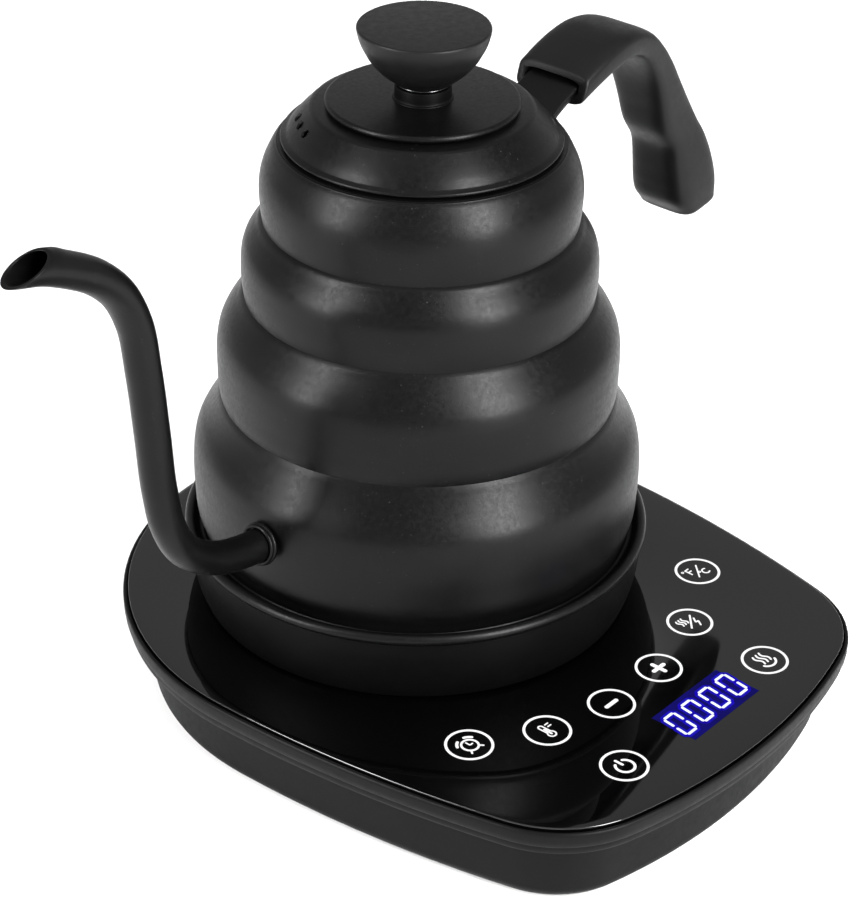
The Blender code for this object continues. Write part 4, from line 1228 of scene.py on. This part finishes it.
    def settle(self, name: str, grids: list[np.ndarray], finish: str, wrap: list[bool]) -> None:
        """Join grids into one print, dress it and tie it to the base.

        Args:
            name: The print's name.
            grids: Its strokes and rings, in millimetres.
            finish: The finish's name.
            wrap: For each grid, whether its last row joins its first.
        """
        parts = [surface(f"{name}_{k}", stand(grid), wrap_rows=turned)
                 for k, (grid, turned) in enumerate(zip(grids, wrap))]
        joined = join(name, parts)
        self.base.settle(joined, finish, Slot.DISPLAY)

    def build_keys(self) -> None:
        """A ring and a sign for each key."""
        for sign in Sign:
            centre = sign.place
            grids = [self.ring(centre, self.ring_radius, self.ring_width)]
            wrap = [True]
            for line, width in self.signs(sign):
                grids.append(self.stroke(line + centre, width))
                wrap.append(False)
            self.settle(f"print_{sign.value[0]}", grids, "lit_white", wrap)

    def build_display(self) -> None:
        """The lit window and its four zeros."""
        centre = np.array(self.display)
        half_x, half_y = self.window
        line = np.array([(-half_x, 0.0), (half_x, 0.0)]) + centre
        walk = np.linspace(line[0], line[1], 30)
        columns = []
        for sign, level in ((1, -0.02), (1, 0.07), (-1, 0.07), (-1, -0.02)):
            columns.append(np.c_[walk + [0.0, sign * half_y], np.full(30, level)])
        grid = np.stack(columns, axis=1)
        window = surface("display_window", stand(grid), cap_start=True, cap_end=True)
        self.base.settle(window, "lit_window", Slot.DISPLAY)
        for name, finish, width, lift in (("display_glow", "lit_glow", 2.9, 0.05),
                                          ("display_digits", "lit_digit", 0.95, 0.1)):
            grids = []
            for k in range(4):
                place = centre + np.array([(k - 1.5) * self.pitch, 0.0])
                grids += self.digit(place, width, lift)
            self.settle(name, grids, finish, [False] * len(grids))

    def build(self) -> None:
        """Build every print."""
        self.build_keys()
        self.build_display()


def join(name: str, parts: list[bpy.types.Object]) -> bpy.types.Object:
    """Join pieces into one mesh: vertex numbers of each are raised by those before it."""
    points, faces, offset = [], [], 0
    for part in parts:
        mesh = part.data
        spots = np.empty(len(mesh.vertices) * 3)
        mesh.vertices.foreach_get("co", spots)
        points.append(spots.reshape(-1, 3))
        faces += [tuple(v + offset for v in face.vertices) for face in mesh.polygons]
        offset += len(mesh.vertices)
        bpy.data.objects.remove(part, do_unlink=True)
    mesh = bpy.data.meshes.new(name)
    mesh.from_pydata(np.vstack(points).tolist(), [], faces)
    piece = bpy.data.objects.new(name, mesh)
    bpy.context.scene.collection.objects.link(piece)
    return piece


# ---- carried-over nodes ------------------------------------------------------------------


NODE_FINISHES: dict[str, tuple[str, ...]] = {
    "housing_plastic": ("base_connector", "bottom_cover", "kettle_connector"),
    "circuit_board": ("control_board", "power_board"),
    "component_case": ("transformer", "relay", "capacitor", "terminal_block", "buzzer",
                       "thermal_cutout"),
    "lit_window": ("display_module",),
    "silicone": ("connector_gasket", "probe_seal"),
    "rubber": ("cord_gland", "foot_front_", "foot_rear_", "touch_pad_"),
    "stainless": ("cover_screw_", "heating_plate", "heating_element", "temperature_probe",
                  "grip_screw_", "knob_screw"),
    "aluminium": ("heat_spreader",),
    "brass": ("centre_pin", "contact_ring"),
}


def dress_nodes(finishes: Finishes) -> None:
    """Give every CAD node that still shows its own finish."""
    for name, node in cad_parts.items():
        for finish, prefixes in NODE_FINISHES.items():
            if name.startswith(prefixes):
                finishes.dress(node, finish)
                LOG.info("%s dressed as %s", name, finish)


# ---- studio ----------------------------------------------------------------------------


@dataclass
class Studio:
    """The floor, the soft lights, the surroundings and the camera."""

    look: float = 39.84
    pitch: float = 31.106
    roll: float = 1.107
    eye: tuple[float, float, float] = (-564.0, -474.1, 490.7)
    lens: float = 109.88
    horizon: tuple[float, float] = (0.36, 0.85)
    zenith: tuple[float, float] = (0.5, 0.42)
    lamps: tuple = (("key_left", -60.0, 24.0, 1.15, (0.34, 0.95), 30.0),
                    ("key_right", 44.0, 26.0, 1.15, (0.36, 0.95), 46.0),
                    ("overhead", 0.0, 88.0, 2.0, (2.4, 2.4), 18.0))

    def direction(self, azimuth: float, elevation: float) -> Vector:
        """Unit vector from an azimuth and an elevation in degrees."""
        a, e = math.radians(azimuth), math.radians(elevation)
        return Vector((math.cos(a) * math.cos(e), math.sin(a) * math.cos(e), math.sin(e)))

    def build_camera(self) -> None:
        """Aim the camera: its own axes are right, up and back, turned by the roll."""
        ahead = self.direction(self.look, -self.pitch)
        right = ahead.cross(Vector((0.0, 0.0, 1.0))).normalized()
        up = right.cross(ahead)
        turn = math.radians(self.roll)
        side = math.cos(turn) * right + math.sin(turn) * up
        top = math.cos(turn) * up - math.sin(turn) * right
        data = bpy.data.cameras.new("camera")
        data.lens = self.lens
        data.clip_end = 20.0
        camera = bpy.data.objects.new("camera", data)
        basis = Matrix((side, top, -ahead)).transposed().to_4x4()
        eye = Vector(self.eye) + Vector((AXIS_X, AXIS_Y, GLASS_TOP))
        camera.matrix_world = Matrix.Translation(eye * MM) @ basis
        bpy.context.scene.collection.objects.link(camera)
        bpy.context.scene.camera = camera

    def softbox(self, name: str, azimuth: float, elevation: float, distance: float,
                size: tuple[float, float], power: float) -> None:
        """Hang a rectangular light that faces the middle of the kettle.

        Args:
            name: The light's name.
            azimuth: Its direction round the kettle, in degrees.
            elevation: Its height above the horizon, in degrees.
            distance: Metres from the kettle's middle.
            size: Width and height in metres.
            power: Watts.
        """
        data = bpy.data.lights.new(name, "AREA")
        data.shape = "RECTANGLE"
        data.size, data.size_y = size
        data.energy = power
        light = bpy.data.objects.new(name, data)
        middle = Vector((AXIS_X * MM, AXIS_Y * MM, 0.12))
        way = self.direction(azimuth, elevation)
        light.location = middle + way * distance
        light.rotation_euler = (-way).to_track_quat("-Z", "Y").to_euler()
        bpy.context.scene.collection.objects.link(light)

    def build_floor(self) -> None:
        """A wide pale floor with a barely mottled matt face."""
        side = 6.0
        line = np.linspace(-side, side, 9)
        x, y = np.meshgrid(line, line, indexing="ij")
        grid = np.stack([x, y, np.zeros_like(x)], -1)
        rows, columns = grid.shape[:2]
        index = np.arange(rows * columns).reshape(rows, columns)
        quads = np.stack([index[:-1, :-1], index[1:, :-1], index[1:, 1:], index[:-1, 1:]], -1)
        mesh = bpy.data.meshes.new("floor")
        mesh.from_pydata(grid.reshape(-1, 3).tolist(), [], quads.reshape(-1, 4).tolist())
        floor = bpy.data.objects.new("floor", mesh)
        bpy.context.scene.collection.objects.link(floor)
        wires = Wiring("floor")
        wires.set(Roughness=0.85, Specular_IOR_Level=0.15)
        tone = wires.ramp(wires.noise(3.0, 2.0), [(0.3, (0.74,) * 3), (0.7, (0.76,) * 3)])
        mesh.materials.append(wires.finish(tone))

    def build_world(self) -> None:
        """Pale surroundings near the horizon, dimmer above, by the sine of the elevation."""
        world = bpy.data.worlds.new("surroundings")
        world.use_nodes = True
        tree = world.node_tree
        place = tree.nodes.new("ShaderNodeTexCoord")
        split = tree.nodes.new("ShaderNodeSeparateXYZ")
        fade = tree.nodes.new("ShaderNodeValToRGB")
        low, high = fade.color_ramp.elements
        low.position, low.color = self.horizon[0], (*(self.horizon[1],) * 3, 1.0)
        high.position, high.color = self.zenith[0], (*(self.zenith[1],) * 3, 1.0)
        tree.links.new(place.outputs["Generated"], split.inputs["Vector"])
        tree.links.new(split.outputs["Z"], fade.inputs["Fac"])
        tree.links.new(fade.outputs["Color"], tree.nodes["Background"].inputs["Color"])
        bpy.context.scene.world = world

    def build(self) -> None:
        """Set the whole studio up."""
        self.build_floor()
        self.build_world()
        facing = self.look + 180.0
        for name, aside, *rest in self.lamps:
            self.softbox(name, facing + aside, *rest)
        self.build_camera()
        bpy.context.scene.view_settings.view_transform = "Standard"


def main() -> None:
    """Build every sub-assembly in order and report its pieces."""
    logging.basicConfig(level=logging.INFO, format="%(name)s: %(message)s")
    finishes = Finishes()
    dress_nodes(finishes)
    for assembly in (PowerBase(finishes), Vessel(finishes), Spout(finishes), Handle(finishes),
                     Lid(finishes)):
        assembly.build()
        LOG.info("%s: %d pieces", type(assembly).__name__, len(assembly.pieces))
    Studio().build()


if __name__ == "__main__":
    main()
